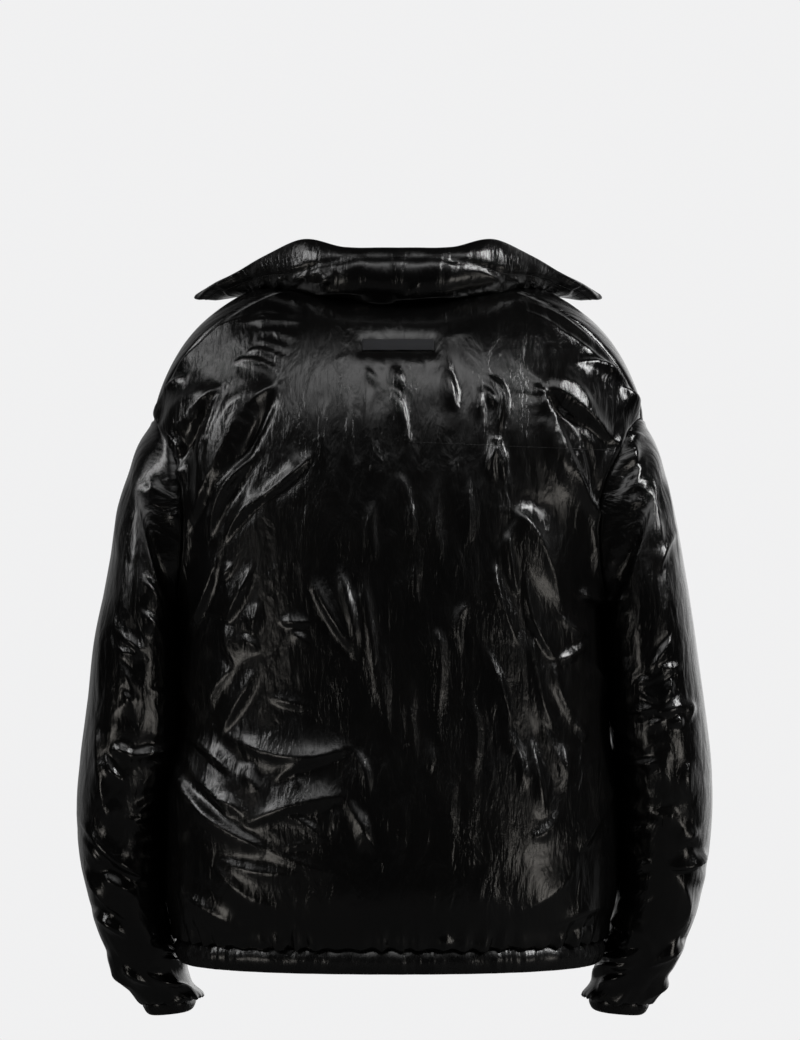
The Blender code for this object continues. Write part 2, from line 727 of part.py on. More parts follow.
def collar_grids(seam, angles):
    """Outer and inner grids of the collar, standing on the neck seam's points."""
    heights, outer_face, inner_face = np.array(COLLAR_FACES).T
    plain = collar_plain(seam + np.array([0, 0, NECK_SEAM_GAP]))
    up = np.gradient(plain, heights, axis=0)
    around = np.gradient(plain, axis=1)
    normals = unit(np.cross(around, up))
    normals[0] = neck_outward(angles)
    columns = plain.shape[1] - 1
    folds = []
    for share, height, to_share, to_height, half_width, rise in COLLAR_FOLDS:
        ends = [
            plain[np.abs(heights - h).argmin(), round(s * columns)]
            for s, h in ((share, height), (to_share, to_height))
        ]
        folds.append((*ends, half_width, rise))
    calm = np.minimum(1, 4 * heights * (1 - heights))[:, None]
    raised = relief(plain, folds) * calm - outer_face[:, None]
    return plain + normals * raised[..., None], plain - normals * inner_face[:, None, None], normals


# ---- Zip --------------------------------------------------------------------------------------------------


def zip_half(side, edge, outward):
    """Points and faces of one tape with its teeth, swept along the cloth's front edge."""
    run = unit(np.gradient(edge, axis=0))
    away = unit(np.cross(outward, run)) * side
    facing = unit(np.cross(run, away)) * side
    rings = [edge + away * out + facing * above for out, above in ZIP_SECTION]
    rings = np.stack(rings, axis=1)
    rows, corners = rings.shape[:2]
    index = np.arange(rows * corners).reshape(rows, corners)
    faces = [tuple(index[0]), tuple(index[-1])]
    for r in range(rows - 1):
        for c in range(corners):
            d = (c + 1) % corners
            faces.append((index[r, c], index[r, d], index[r + 1, d], index[r + 1, c]))
    return rings.reshape(-1, 3), faces


def slider_frame():
    """Where the slider sits on the closed teeth: Y out of the jacket, Z up the zip."""
    front = math.radians(-90)
    centre = body_points(SLIDER_STATION, [front])[0]
    out = body_normals(SLIDER_STATION, np.array([front]))[0]
    out = unit(out * (0, 1, 1))
    up = unit(np.cross(out, (1, 0, 0)))
    up = up * np.sign(up[2])
    centre = centre + out * TEETH_FACE
    frame = Matrix.Identity(4)
    for row in range(3):
        frame[row][0] = (-1.0, 0.0, 0.0)[row]
        frame[row][1] = out[row]
        frame[row][2] = up[row]
        frame[row][3] = centre[row]
    return frame


def box_mesh(name, low, high):
    mesh = bpy.data.meshes.new(name)
    shape = bmesh.new()
    bmesh.ops.create_cube(shape, size=1.0)
    low, high = np.array(low), np.array(high)
    for vertex in shape.verts:
        vertex.co = (low + high) / 2 + np.array(vertex.co) * (high - low)
    shape.to_mesh(mesh)
    shape.free()
    return mesh


def rod_mesh(name, radius, length, centre):
    """A cylinder along X."""
    mesh = bpy.data.meshes.new(name)
    shape = bmesh.new()
    bmesh.ops.create_cone(
        shape, cap_ends=True, segments=ROUND_SEGMENTS, radius1=radius, radius2=radius, depth=length
    )
    bmesh.ops.rotate(shape, verts=shape.verts, matrix=Matrix.Rotation(math.radians(90), 3, "Y"))
    bmesh.ops.translate(shape, verts=shape.verts, vec=centre)
    shape.to_mesh(mesh)
    shape.free()
    return mesh


def helper(mesh, frame, parent):
    """A shape that a Boolean adds or takes away, left out of renders."""
    item = bpy.data.objects.new(mesh.name, mesh)
    item.parent = parent
    item.matrix_world = frame
    item.hide_render = True
    item.display_type = "WIRE"
    bpy.context.scene.collection.objects.link(item)
    return item


def combine(item, operation, others):
    for other in others:
        modifier = item.modifiers.new(other.name, "BOOLEAN")
        modifier.operation = operation
        modifier.object = other


def build_slider(frame, material, parent):
    """The slider's plate with two ears and the pin between them, on which the pull tab turns."""
    plate = box_mesh(
        "zip_slider",
        (-SLIDER_WIDTH / 2, SEAM_GAP, -SLIDER_HEIGHT / 2),
        (SLIDER_WIDTH / 2, SEAM_GAP + SLIDER_THICKNESS, SLIDER_HEIGHT / 2),
    )
    slider = link("zip_slider", plate, material, parent)
    slider.matrix_world = frame
    added = []
    for side in (-1, 1):
        inner_x = side * EAR_GAP / 2
        outer_x = inner_x + side * EAR_THICKNESS
        ear = box_mesh(
            f"ear_{'left' if side < 0 else 'right'}",
            (min(inner_x, outer_x), SEAM_GAP + SLIDER_THICKNESS / 2, PIN_HEIGHT - EAR_RADIUS),
            (max(inner_x, outer_x), PIN_STANDOFF + EAR_RADIUS, PIN_HEIGHT + EAR_RADIUS),
        )
        added.append(helper(ear, frame, parent))
    pin = rod_mesh(
        "pin", PIN_RADIUS, EAR_GAP + EAR_THICKNESS, (0, PIN_STANDOFF, PIN_HEIGHT)
    )
    added.append(helper(pin, frame, parent))
    combine(slider, "UNION", added)
    return slider


def build_pull(frame, material, parent):
    """The pull tab: a flat bar on a barrel round the slider's pin, its origin on the pin's axis."""
    hinge = frame @ Matrix.Translation((0, PIN_STANDOFF, PIN_HEIGHT))
    bar = box_mesh(
        "zip_pull",
        (-PULL_WIDTH / 2, -PULL_THICKNESS / 2, -PULL_LENGTH),
        (PULL_WIDTH / 2, PULL_THICKNESS / 2, -PULL_HOLE_RADIUS - PULL_THICKNESS / 4),
    )
    pull = link("zip_pull", bar, material, parent)
    pull.matrix_world = hinge
    barrel = helper(rod_mesh("barrel", BARREL_RADIUS, PULL_WIDTH, (0, 0, 0)), hinge, parent)
    bore = helper(rod_mesh("bore", PULL_HOLE_RADIUS, 2 * PULL_WIDTH, (0, 0, 0)), hinge, parent)
    combine(pull, "UNION", [barrel])
    combine(pull, "DIFFERENCE", [bore])
    return pull


# ---- Label ------------------------------------------------------------------------------------------------


def label_grids(back):
    """Under and outer grids of the label, laid on the back piece's own faces."""
    mesh = back.data
    tree = BVHTree.FromPolygons(
        [tuple(v.co) for v in mesh.vertices], [tuple(p.vertices) for p in mesh.polygons]
    )
    under, outer = [], []
    for z in np.linspace(LABEL_BOTTOM, LABEL_TOP, LABEL_ROWS + 1):
        for x in np.linspace(LABEL_WIDTH / 2, -LABEL_WIDTH / 2, LABEL_COLUMNS + 1):
            place, normal, _, _ = tree.ray_cast((x, 0.4, z), (0, -1, 0))
            place, normal = np.array(place), np.array(normal)
            under.append(place + normal * LABEL_CLEARANCE)
            outer.append(place + normal * (LABEL_CLEARANCE + LABEL_THICKNESS))
    shape = (LABEL_ROWS + 1, LABEL_COLUMNS + 1, 3)
    return np.array(outer).reshape(shape), np.array(under).reshape(shape)


# ---- The whole jacket -------------------------------------------------------------------------------------


def clear_scene():
    for item in list(bpy.data.objects):
        bpy.data.objects.remove(item, do_unlink=True)


def build_cloth(nylon, binding, jacket):
    """Every cloth piece. Returns the grids that the zip and the label are laid on."""
    back_folds = body_folds(BACK_FOLDS, 0.0, math.pi)
    front_folds = body_folds(FRONT_FOLDS, -math.pi, 0.0)
    back = body_piece(back_edges, BACK_COLUMNS, back_folds)
    left = body_piece(front_left_edges, FRONT_COLUMNS, front_folds)
    right = body_piece(front_right_edges, FRONT_COLUMNS, front_folds)
    back_object = mesh_object("back", *wall_mesh(*back[:2]), nylon, jacket)
    mesh_object("front_left", *wall_mesh(*left[:2]), nylon, jacket)
    mesh_object("front_right", *wall_mesh(*right[:2]), nylon, jacket)

    turns = armhole_turns()
    cuff_turns = np.linspace(0, 2 * math.pi, 2 * CUFF_GATHERS, endpoint=False)
    for side, word in ((1, "left"), (-1, "right")):
        sleeve = sleeve_grids(side, turns)
        mesh_object(f"sleeve_{word}", *wall_mesh(*sleeve, closed=True), nylon, jacket)
        cuff = cuff_grids(side, cuff_turns)
        mesh_object(f"cuff_{word}", *wall_mesh(*cuff, closed=True), binding, jacket)

    hem = hem_grids()
    mesh_object("hem_band", *wall_mesh(*hem[:2]), binding, jacket)

    neck = np.concatenate([left[0][-1], back[0][-1][1:-1], right[0][-1]])
    neck[0] += unit(neck[1] - neck[0]) * COLLAR_SET_BACK
    neck[-1] += unit(neck[-2] - neck[-1]) * COLLAR_SET_BACK
    angles = np.unwrap(np.arctan2(neck[:, 1] / NECK_BACK, neck[:, 0] / NECK_HALF_WIDTH))
    collar = collar_grids(neck, angles)
    mesh_object("collar", *wall_mesh(*collar[:2]), nylon, jacket)
    return back_object, left, right, hem, collar


def build_jacket():
    clear_scene()
    jacket = bpy.data.objects.new("jacket", None)
    bpy.context.scene.collection.objects.link(jacket)
    nylon = make_material("coated_nylon")
    binding = make_material("elastic_binding")
    zip_black = make_material("zip_black")
    metal = make_material("zip_metal")
    weave = make_material("label_weave")

    back, left, right, hem, collar = build_cloth(nylon, binding, jacket)
    for side, word, front, column in ((1, "left", left, 0), (-1, "right", right, -1)):
        edge = np.concatenate([hem[0][:, column], front[0][1:, column], collar[0][1:-1, column]])
        outward = np.concatenate([hem[2][:, column], front[2][1:, column], collar[2][1:-1, column]])
        mesh_object(f"zip_{word}", *zip_half(side, edge, outward), zip_black, jacket)
    frame = slider_frame()
    build_slider(frame, metal, jacket)
    build_pull(frame, metal, jacket)
    mesh_object("label", *wall_mesh(*label_grids(back)), weave, jacket)


build_jacket()
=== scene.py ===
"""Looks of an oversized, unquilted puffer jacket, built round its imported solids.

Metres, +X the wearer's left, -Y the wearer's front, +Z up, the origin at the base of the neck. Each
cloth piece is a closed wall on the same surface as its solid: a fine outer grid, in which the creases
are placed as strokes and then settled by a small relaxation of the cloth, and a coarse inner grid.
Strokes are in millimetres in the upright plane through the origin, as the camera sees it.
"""

import json
import math

import bmesh
import bpy
import numpy as np
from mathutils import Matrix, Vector

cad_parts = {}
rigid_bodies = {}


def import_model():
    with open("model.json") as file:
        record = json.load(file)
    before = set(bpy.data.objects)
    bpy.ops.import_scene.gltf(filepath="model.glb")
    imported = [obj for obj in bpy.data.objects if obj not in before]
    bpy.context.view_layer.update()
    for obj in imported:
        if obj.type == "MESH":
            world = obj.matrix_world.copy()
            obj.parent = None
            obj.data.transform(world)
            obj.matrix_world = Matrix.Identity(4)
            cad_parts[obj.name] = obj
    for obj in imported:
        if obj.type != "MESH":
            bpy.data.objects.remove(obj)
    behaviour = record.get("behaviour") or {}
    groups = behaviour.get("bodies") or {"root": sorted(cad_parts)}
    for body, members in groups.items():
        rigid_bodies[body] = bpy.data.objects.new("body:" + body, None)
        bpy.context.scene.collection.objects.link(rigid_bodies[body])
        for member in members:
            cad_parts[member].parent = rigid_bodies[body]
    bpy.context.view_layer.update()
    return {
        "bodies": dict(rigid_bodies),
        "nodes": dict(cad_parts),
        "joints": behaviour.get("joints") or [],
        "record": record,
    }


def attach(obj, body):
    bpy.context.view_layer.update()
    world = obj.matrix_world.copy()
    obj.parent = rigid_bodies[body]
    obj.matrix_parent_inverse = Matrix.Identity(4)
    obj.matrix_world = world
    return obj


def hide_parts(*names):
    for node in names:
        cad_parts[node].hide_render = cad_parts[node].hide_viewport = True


MM = 0.001
SEED = 7

# Camera
CAMERA_PLACE = Vector((-0.002, 4.5, -0.24))
CAMERA_LENS = 185.8
CAMERA_SENSOR = 36.0
CAMERA_REACH = 50
BACKDROP = (0.875, 0.875, 0.880)

# Gaps, walls and levels of the solids
SEAM_GAP = 0.0003
COLLAR_SET_BACK = 0.0008
BODY_WALL = 0.010
SLEEVE_WALL = 0.008
BINDING_WALL = 0.005
HEM_BOTTOM = -0.717
HEM_SEAM = -0.692
UNDERARM = -0.345
ARMHOLE_TOP = -0.130

# How finely the cloth is divided. Rows and columns are multiples of twice INNER_STRIDE.
INNER_STRIDE = 4
HEM_TO_UNDERARM_ROWS = 112
ARMHOLE_ROWS = 72
YOKE_ROWS_FINE = 64
BACK_COLUMNS = 240
FRONT_COLUMNS = 120
SLEEVE_ROWS_FINE = 216
SLEEVE_COLUMNS = 184
ARMHOLE_CLOSENESS = 0.6
ARMHOLE_REACH = 12
BACK_SOLID_COLUMNS = 24
FRONT_SOLID_COLUMNS = 12
FINE_STEPS = 240
HALVINGS = 40

# Half width to each side and depth to back and front of the body, with the squareness of its section.
# level,  left,   right,  back,   front,  squareness
BODY_ROWS = (
    (-0.692, 0.2400, 0.2220, 0.152, 0.150, 2.35),
    (-0.655, 0.2500, 0.2340, 0.170, 0.166, 2.40),
    (-0.600, 0.2525, 0.2380, 0.177, 0.174, 2.45),
    (-0.550, 0.2510, 0.2370, 0.178, 0.175, 2.45),
    (-0.510, 0.2440, 0.2340, 0.176, 0.174, 2.45),
    (-0.475, 0.2340, 0.2290, 0.173, 0.171, 2.45),
    (-0.420, 0.2360, 0.2270, 0.172, 0.168, 2.50),
    (-0.345, 0.2385, 0.2220, 0.173, 0.165, 2.55),
    (-0.260, 0.2460, 0.2290, 0.173, 0.160, 2.55),
    (-0.190, 0.2550, 0.2450, 0.170, 0.154, 2.50),
    (-0.160, 0.2610, 0.2580, 0.167, 0.151, 2.45),
    (-0.130, 0.2640, 0.2650, 0.163, 0.146, 2.40),
)
# How far in towards the neck and up towards it the cloth has come, at the sides and at back and front.
# station, side in, side up, end in, end up
YOKE_ROWS = (
    (0.00, 0.000, 0.00, 0.000, 0.00),
    (0.08, 0.006, 0.09, 0.020, 0.10),
    (0.16, 0.028, 0.18, 0.075, 0.21),
    (0.35, 0.13, 0.42, 0.26, 0.47),
    (0.55, 0.31, 0.66, 0.50, 0.71),
    (0.75, 0.59, 0.87, 0.76, 0.89),
    (1.00, 1.00, 1.00, 1.00, 1.00),
)

# Neck seam and armhole
NECK_HALF_WIDTH = 0.110
NECK_BACK = 0.088
NECK_FRONT = 0.096
NECK_SQUARENESS = 2.1
# sine of the angle, level
NECK_LEVELS = ((-1.0, -0.050), (-0.6, -0.012), (0.0, 0.019), (0.7, 0.010), (1.0, -0.002))
ARMHOLE_TOP_ANGLE = math.radians(12)
ARMHOLE_BACK_SPREAD = math.radians(21)
ARMHOLE_FRONT_SPREAD = math.radians(32)
SHOULDER_SEAM_NECK_ANGLE = math.radians(38)
# level, the zip edge's distance from the middle
FRONT_EDGE = (
    (-0.195, 0.0060),
    (-0.175, 0.0115),
    (-0.150, 0.0250),
    (-0.120, 0.0430),
    (-0.090, 0.0600),
    (-0.060, 0.0740),
    (-0.030, 0.0870),
    (-0.005, 0.0960),
)

# Sleeve rings from just past the armhole to the cuff seam: where the ring's outer and inner ends lie.
# outer left, outer right, outer z, inner left, inner right, inner z, middle y, half depth
SLEEVE_ROWS = (
    (0.2800, 0.2780, -0.158, 0.2400, 0.2235, -0.352, 0.002, 0.090),
    (0.2930, 0.2905, -0.200, 0.2400, 0.2240, -0.366, 0.004, 0.098),
    (0.3045, 0.3015, -0.250, 0.2400, 0.2260, -0.384, 0.004, 0.102),
    (0.3140, 0.3105, -0.300, 0.2400, 0.2290, -0.405, 0.004, 0.103),
    (0.3230, 0.3185, -0.350, 0.2400, 0.2305, -0.430, 0.003, 0.102),
    (0.3305, 0.3255, -0.400, 0.2405, 0.2320, -0.460, 0.002, 0.100),
    (0.3375, 0.3325, -0.450, 0.2450, 0.2355, -0.492, 0.000, 0.098),
    (0.3440, 0.3385, -0.500, 0.2510, 0.2390, -0.524, -0.004, 0.096),
    (0.3480, 0.3405, -0.545, 0.2540, 0.2405, -0.556, -0.010, 0.094),
    (0.3475, 0.3390, -0.585, 0.2550, 0.2405, -0.588, -0.017, 0.091),
    (0.3430, 0.3345, -0.625, 0.2550, 0.2405, -0.620, -0.025, 0.087),
    (0.3350, 0.3270, -0.660, 0.2530, 0.2390, -0.652, -0.033, 0.082),
    (0.3250, 0.3160, -0.695, 0.2490, 0.2345, -0.683, -0.041, 0.076),
    (0.3125, 0.3035, -0.726, 0.2480, 0.2300, -0.713, -0.048, 0.067),
    (0.3000, 0.2900, -0.750, 0.2350, 0.2180, -0.741, -0.053, 0.056),
    (0.2830, 0.2780, -0.768, 0.2230, 0.2100, -0.762, -0.056, 0.044),
)
SLEEVE_SQUARENESS = 2.3
CUFF_HEIGHT = 0.022
CUFF_TAPER = 0.93
CUFF_TUCK = 0.0020
HEM_TUCK = 0.0020
HEM_ROLL = 0.0025
LABEL_SIZE = (0.0760, 0.0130)
LABEL_TOP = -0.0490

# Collar on the wearer's left: a point half way up its outer face and one on its free edge.
# share, half way x, y, z, edge x, edge y, edge z
COLLAR_LINES = (
    (0.00, 0.1400, -0.0640, 0.0140, 0.2200, -0.0500, -0.0020),
    (0.08, 0.1420, -0.0500, 0.0120, 0.2130, -0.0340, -0.0010),
    (0.16, 0.1500, -0.0300, 0.0090, 0.2030, -0.0120, 0.0050),
    (0.24, 0.1560, -0.0100, 0.0080, 0.1930, 0.0050, 0.0100),
    (0.34, 0.1480, 0.0160, 0.0110, 0.1760, 0.0260, 0.0190),
    (0.46, 0.1330, 0.0500, 0.0130, 0.1490, 0.0600, 0.0370),
    (0.60, 0.1060, 0.0880, 0.0130, 0.1110, 0.0930, 0.0550),
    (0.80, 0.0560, 0.1180, 0.0100, 0.0570, 0.1190, 0.0485),
    (1.00, 0.0000, 0.1270, 0.0070, 0.0000, 0.1250, 0.0480),
)
# share of the height, outer face, inner face: how far they lie inside that surface
COLLAR_FACES = (
    (0.00, 0.0000, 0.0100),
    (0.17, -0.0005, 0.0120),
    (0.34, -0.0010, 0.0140),
    (0.51, -0.0010, 0.0150),
    (0.68, -0.0005, 0.0155),
    (0.84, 0.0005, 0.0150),
    (0.94, 0.0025, 0.0130),
    (1.00, 0.0055, 0.0100),
)

# Creases, listed one by one: each is a curve through three points, with its height (below 0 for a trough),
# its half width and how far it leans. Above 0 the steep side, with a hollow beside it, is on the left of
# someone going along the stroke, as the camera sees it.
# x, z, middle x, middle z, end x, end z, height, half width, lean
BACK_STROKES = (
    (133, -95, 176, -144, 220, -240, 10, 13, 0.6),
    (188, -99, 227, -135, 251, -191, 8, 12, 0.6),
    (188, -104, 199, -142, 211, -177, 3, 5, 0.3),
    (160, -174, 187, -204, 204, -260, 6, 9, 0.5),
    (229, -181, 238, -196, 248, -212, 4, 6, 0),
    (95, -171, 118, -194, 153, -221, 4, 5, 0.5),
    (145, -218, 167, -231, 187, -263, 4, 5, 0.5),
    (194, -272, 209, -327, 230, -370, 5, 6, 0.5),
    (230, -376, 231, -414, 217, -456, 4, 5, -0.3),
    (180, -288, 185, -297, 192, -305, 3, 4, 0),
    (157, -293, 173, -326, 184, -351, 5, 6, 0.4),
    (184, -353, 183, -376, 175, -399, 4, 5, -0.4),
    (166, -364, 157, -373, 148, -382, 3, 5, 0),
    (148, -330, 153, -349, 155, -366, 4, 5, 0.3),
    (127, -349, 111, -353, 95, -351, 4, 5, -0.4),
    (93, -306, 73, -344, 47, -387, 5, 6, -0.4),
    (63, -294, 50, -340, 43, -392, 6, 7, 0.3),
    (36, -305, 29, -365, 19, -441, 5, 7, 0.3),
    (119, -358, 107, -366, 95, -376, 3, 4, 0),
    (175, -400, 194, -421, 203, -449, 5, 8, 0.4),
    (153, -405, 170, -436, 192, -475, 5, 7, 0.5),
    (139, -432, 116, -439, 93, -444, 3, 5, -0.3),
    (184, -474, 118, -498, 51, -486, 9, 16, -0.5),
    (158, -505, 159, -521, 148, -532, 4, 6, 0),
    (135, -526, 107, -508, 58, -493, 4, 6, -0.5),
    (51, -486, 35, -512, 31, -545, 4, 4, 0.3),
    (112, -510, 108, -523, 104, -534, 3, 3, 0),
    (164, -571, 107, -550, 55, -541, 8, 11, -0.4),
    (124, -563, 100, -570, 79, -590, 4, 4, 0.2),
    (55, -542, 39, -572, 27, -601, 5, 6, 0.3),
    (73, -546, 66, -567, 74, -590, 3, 4, 0),
    (39, -556, 35, -578, 42, -600, 3, 4, 0),
    (126, -598, 107, -595, 86, -590, 3, 4, -0.3),
    (231, -473, 205, -493, 180, -516, 5, 5, -0.5),
    (242, -505, 207, -558, 140, -598, 9, 10, 0.6),
    (140, -598, 107, -613, 69, -624, 4, 10, 0.3),
    (227, -515, 203, -536, 180, -565, 5, 6, -0.3),
    (197, -542, 181, -547, 166, -563, 4, 5, 0),
    (193, -608, 151, -622, 107, -624, 5, 10, 0.4),
    (240, -640, 205, -662, 160, -690, 7, 12, 0.5),
    (205, -600, 175, -640, 120, -668, 5, 14, 0.4),
    (139, -684, 134, -695, 132, -709, 3, 3, 0),
    (124, -680, 122, -693, 123, -709, 3, 3, 0),
    (111, -680, 109, -696, 107, -708, 3, 3, 0),
    (153, -687, 144, -698, 132, -709, 2, 3, 0),
    (-40, -697, -51, -696, -67, -702, 4, 5, 0),
    (-57, -703, -59, -714, -53, -722, 3, 3, 0),
    (-67, -702, -91, -704, -115, -711, 3, 5, 0),
    (-165, -684, -195, -668, -222, -664, 6, 9, -0.4),
    (-179, -692, -198, -687, -213, -683, 3, 4, 0),
    (-224, -557, -207, -583, -196, -601, 4, 6, 0.4),
    (-145, -582, -158, -579, -172, -557, 4, 6, 0.3),
    (-196, -596, -170, -643, -121, -671, 5, 13, 0.4),
    (35, -75, 29, -83, 23, -94, 3, 3, 0),
    (23, -59, 19, -68, 13, -76, 2.5, 3, 0),
    (6, -72, 0, -87, -4, -102, 4, 3.5, 0.3),
    (1, -70, -3, -83, -7, -96, 3, 3, 0),
    (-11, -58, -13, -66, -15, -75, 2.5, 3, 0),
    (-19, -58, -24, -68, -27, -80, 3, 3, 0),
    (-35, -58, -38, -63, -41, -72, 3, 3, 0),
    (-52, -70, -57, -96, -63, -122, 7, 7, 0.4),
    (8, -99, -4, -120, -10, -160, 5, 6, 0.5),
    (29, -98, 33, -131, 31, -164, 3, 6, 0.2),
    (50, -100, 53, -142, 57, -186, 3, 7, 0.2),
    (74, -109, 83, -142, 80, -177, 3, 6, 0),
    (-87, -95, -88, -112, -85, -131, 3.5, 4, 0),
    (-98, -86, -112, -106, -110, -141, 5, 5, 0.3),
    (-92, -95, -100, -107, -107, -119, 3, 3, 0),
    (-147, -94, -155, -109, -159, -130, 5, 5, 0.2),
    (-99, -153, -109, -169, -116, -194, 4, 6, 0),
    (-111, -153, -102, -175, -108, -199, 3, 4, 0),
    (3, -193, -10, -209, -17, -263, 2.5, 3, 0.4),
    (-12, -218, -16, -240, -14, -271, 2, 3, 0.3),
    (25, -218, 29, -251, 22, -289, 3, 6, 0),
    (-46, -196, -41, -240, -48, -284, 3, 7, 0.3),
    (-73, -186, -78, -229, -74, -267, 3, 6, 0),
    (172, -27, 129, -25, 93, -27, 3, 3.5, -0.3),
    (157, -19, 143, -18, 128, -19, 3, 3, 0),
    (148, -37, 129, -37, 110, -45, 3, 4, 0),
    (153, -47, 138, -49, 120, -55, 3, 3.5, 0),
    (165, -62, 148, -57, 121, -68, 2.5, 3, 0),
    (177, -71, 156, -68, 129, -79, 2, 3, 0),
    (251, -83, 233, -61, 203, -41, 4, 5, 0.3),
    (262, -100, 240, -68, 172, -14, 4, 5, 0.3),
    (255, -103, 238, -93, 226, -86, 3, 4, 0),
    (254, -107, 256, -136, 251, -167, 4, 5, 0),
    (209, -45, 192, -31, 162, -18, 3, 3, 0),
    (-43, -43, -62, -39, -80, -36, -2, 4, 0),
    (58, -34, 50, -38, 41, -44, 2, 3, 0),
    (69, -68, 55, -60, 41, -53, 2, 3, 0),
    (-41, -55, -51, -66, -59, -79, 2, 3, 0),
    (-191, -71, -220, -74, -249, -96, 5, 6, 0.2),
    (-239, -96, -253, -109, -265, -127, 6, 6, 0.3),
    (-159, -108, -176, -107, -229, -153, 9, 11, -0.6),
    (-160, -107, -176, -155, -216, -240, 9, 9, 0.5),
    (-218, -248, -223, -284, -222, -349, 4, 5, 0),
    (-176, -136, -193, -164, -209, -207, 3, 5, 0),
    (-133, -13, -160, -24, -182, -39, 2.5, 3, 0),
    (-144, -6, -176, -20, -209, -46, 2.5, 3, 0),
    (-160, -3, -193, -22, -224, -57, 2.5, 3, 0),
    (-171, -33, -198, -49, -233, -82, 2.5, 3, 0),
    (-23, -275, -19, -311, -25, -342, 2.5, 4, 0.3),
    (-39, -359, -46, -394, -39, -471, 4, 6, 0.3),
    (-75, -332, -64, -354, -68, -389, 3.5, 4, 0),
    (-104, -286, -110, -327, -128, -374, 6, 7, 0.3),
    (-119, -257, -124, -296, -130, -320, 4, 4, 0),
    (-126, -231, -152, -262, -179, -342, 9, 14, 0.3),
    (-138, -296, -144, -349, -171, -394, 5, 5, -0.4),
    (-171, -394, -189, -384, -204, -372, 4, 4, 0),
    (-171, -394, -174, -425, -200, -475, 5, 5, 0.2),
    (-146, -362, -151, -425, -175, -480, 7, 8, 0.3),
    (-175, -480, -182, -507, -176, -534, 5, 7, 0),
    (-95, -380, -111, -425, -124, -471, 6, 6, 0.3),
    (-115, -458, -120, -478, -123, -495, 4, 5, 0),
    (-124, -469, -131, -502, -137, -534, 4, 5, 0),
    (-142, -477, -150, -518, -160, -563, 6, 7, 0.3),
    (-155, -463, -169, -491, -179, -518, 4, 5, 0),
    (-191, -458, -198, -469, -206, -479, 4, 4, 0),
    (-176, -345, -191, -359, -206, -368, 4, 4, 0),
    (-193, -320, -209, -327, -223, -335, 6, 6, -0.4),
    (-203, -396, -218, -414, -230, -451, 6, 6, 0.3),
    (-227, -458, -232, -480, -237, -499, 4, 4, 0),
    (-233, -522, -231, -536, -227, -552, 4, 5, 0),
    (-3, -542, -7, -572, -5, -608, 3, 5, 0),
    (-30, -474, -35, -502, -30, -518, 3, 4, 0),
    (-62, -523, -57, -556, -63, -594, 3, 7, 0),
    (-78, -436, -85, -480, -78, -523, 3, 6, 0),
    (9, -371, 15, -425, 9, -480, 3, 7, 0.2),
    (-18, -414, -13, -458, -21, -502, 3, 6, 0),
)
LEFT_SLEEVE_STROKES = (
    (279, -309, 268, -318, 250, -360, 5, 6, 0.3),
    (270, -201, 265, -207, 259, -215, 3, 5, 0),
    (247, -207, 236, -224, 238, -251, 4, 6, 0),
    (251, -240, 242, -235, 233, -252, 4, 4, 0),
    (280, -341, 267, -354, 262, -369, 4, 6, 0.3),
    (301, -368, 288, -377, 277, -388, 4, 5, -0.3),
    (302, -382, 292, -386, 279, -388, 3, 4, 0),
    (302, -395, 292, -419, 285, -441, 3, 5, 0.3),
    (299, -430, 292, -437, 288, -457, 4, 6, 0),
    (267, -425, 255, -433, 249, -442, 3, 4, 0),
    (292, -498, 270, -493, 251, -490, 5, 6, 0),
    (270, -505, 262, -505, 253, -502, 3, 4, 0),
    (251, -492, 248, -483, 245, -474, 4, 5, 0),
    (312, -494, 299, -491, 292, -507, 5, 6, 0.3),
    (317, -496, 310, -514, 299, -526, 5, 4, 0.4),
    (328, -463, 326, -491, 326, -521, 3, 5, 0),
    (323, -502, 321, -534, 315, -574, 4, 7, 0.3),
    (315, -571, 312, -558, 308, -545, 3, 6, 0),
    (288, -560, 273, -548, 260, -538, 4, 5, 0.3),
    (292, -565, 279, -564, 260, -557, 3, 4, 0),
    (291, -567, 276, -576, 260, -572, 3, 4, 0),
    (344, -567, 312, -604, 278, -629, 7, 6, -0.4),
    (345, -581, 328, -604, 318, -619, 4, 5, 0.3),
    (340, -616, 322, -645, 296, -675, 5, 5, -0.4),
    (330, -665, 312, -678, 294, -695, 5, 5, 0.3),
    (321, -624, 304, -636, 288, -647, 4, 7, 0),
    (269, -636, 262, -638, 253, -642, 3, 5, 0),
    (262, -668, 255, -669, 247, -673, 3, 5, 0),
    (276, -590, 268, -587, 257, -588, 3, 4, 0),
    (276, -606, 268, -607, 257, -610, 3, 4, 0),
    (275, -619, 265, -622, 255, -624, 3, 4, 0),
    (270, -700, 261, -703, 249, -710, 4, 4, 0),
    (262, -713, 242, -721, 223, -728, 4, 4, 0),
    (299, -725, 286, -734, 269, -745, 4, 4, 0.3),
    (276, -732, 252, -741, 224, -751, 4, 5, 0),
    (316, -709, 308, -728, 290, -747, 4, 6, 0),
    (260, -758, 243, -761, 225, -765, 3, 3, 0),
    (294, -186, 301, -229, 305, -284, 4, 12, 0),
    (316, -327, 321, -382, 325, -436, 4, 12, 0),
)
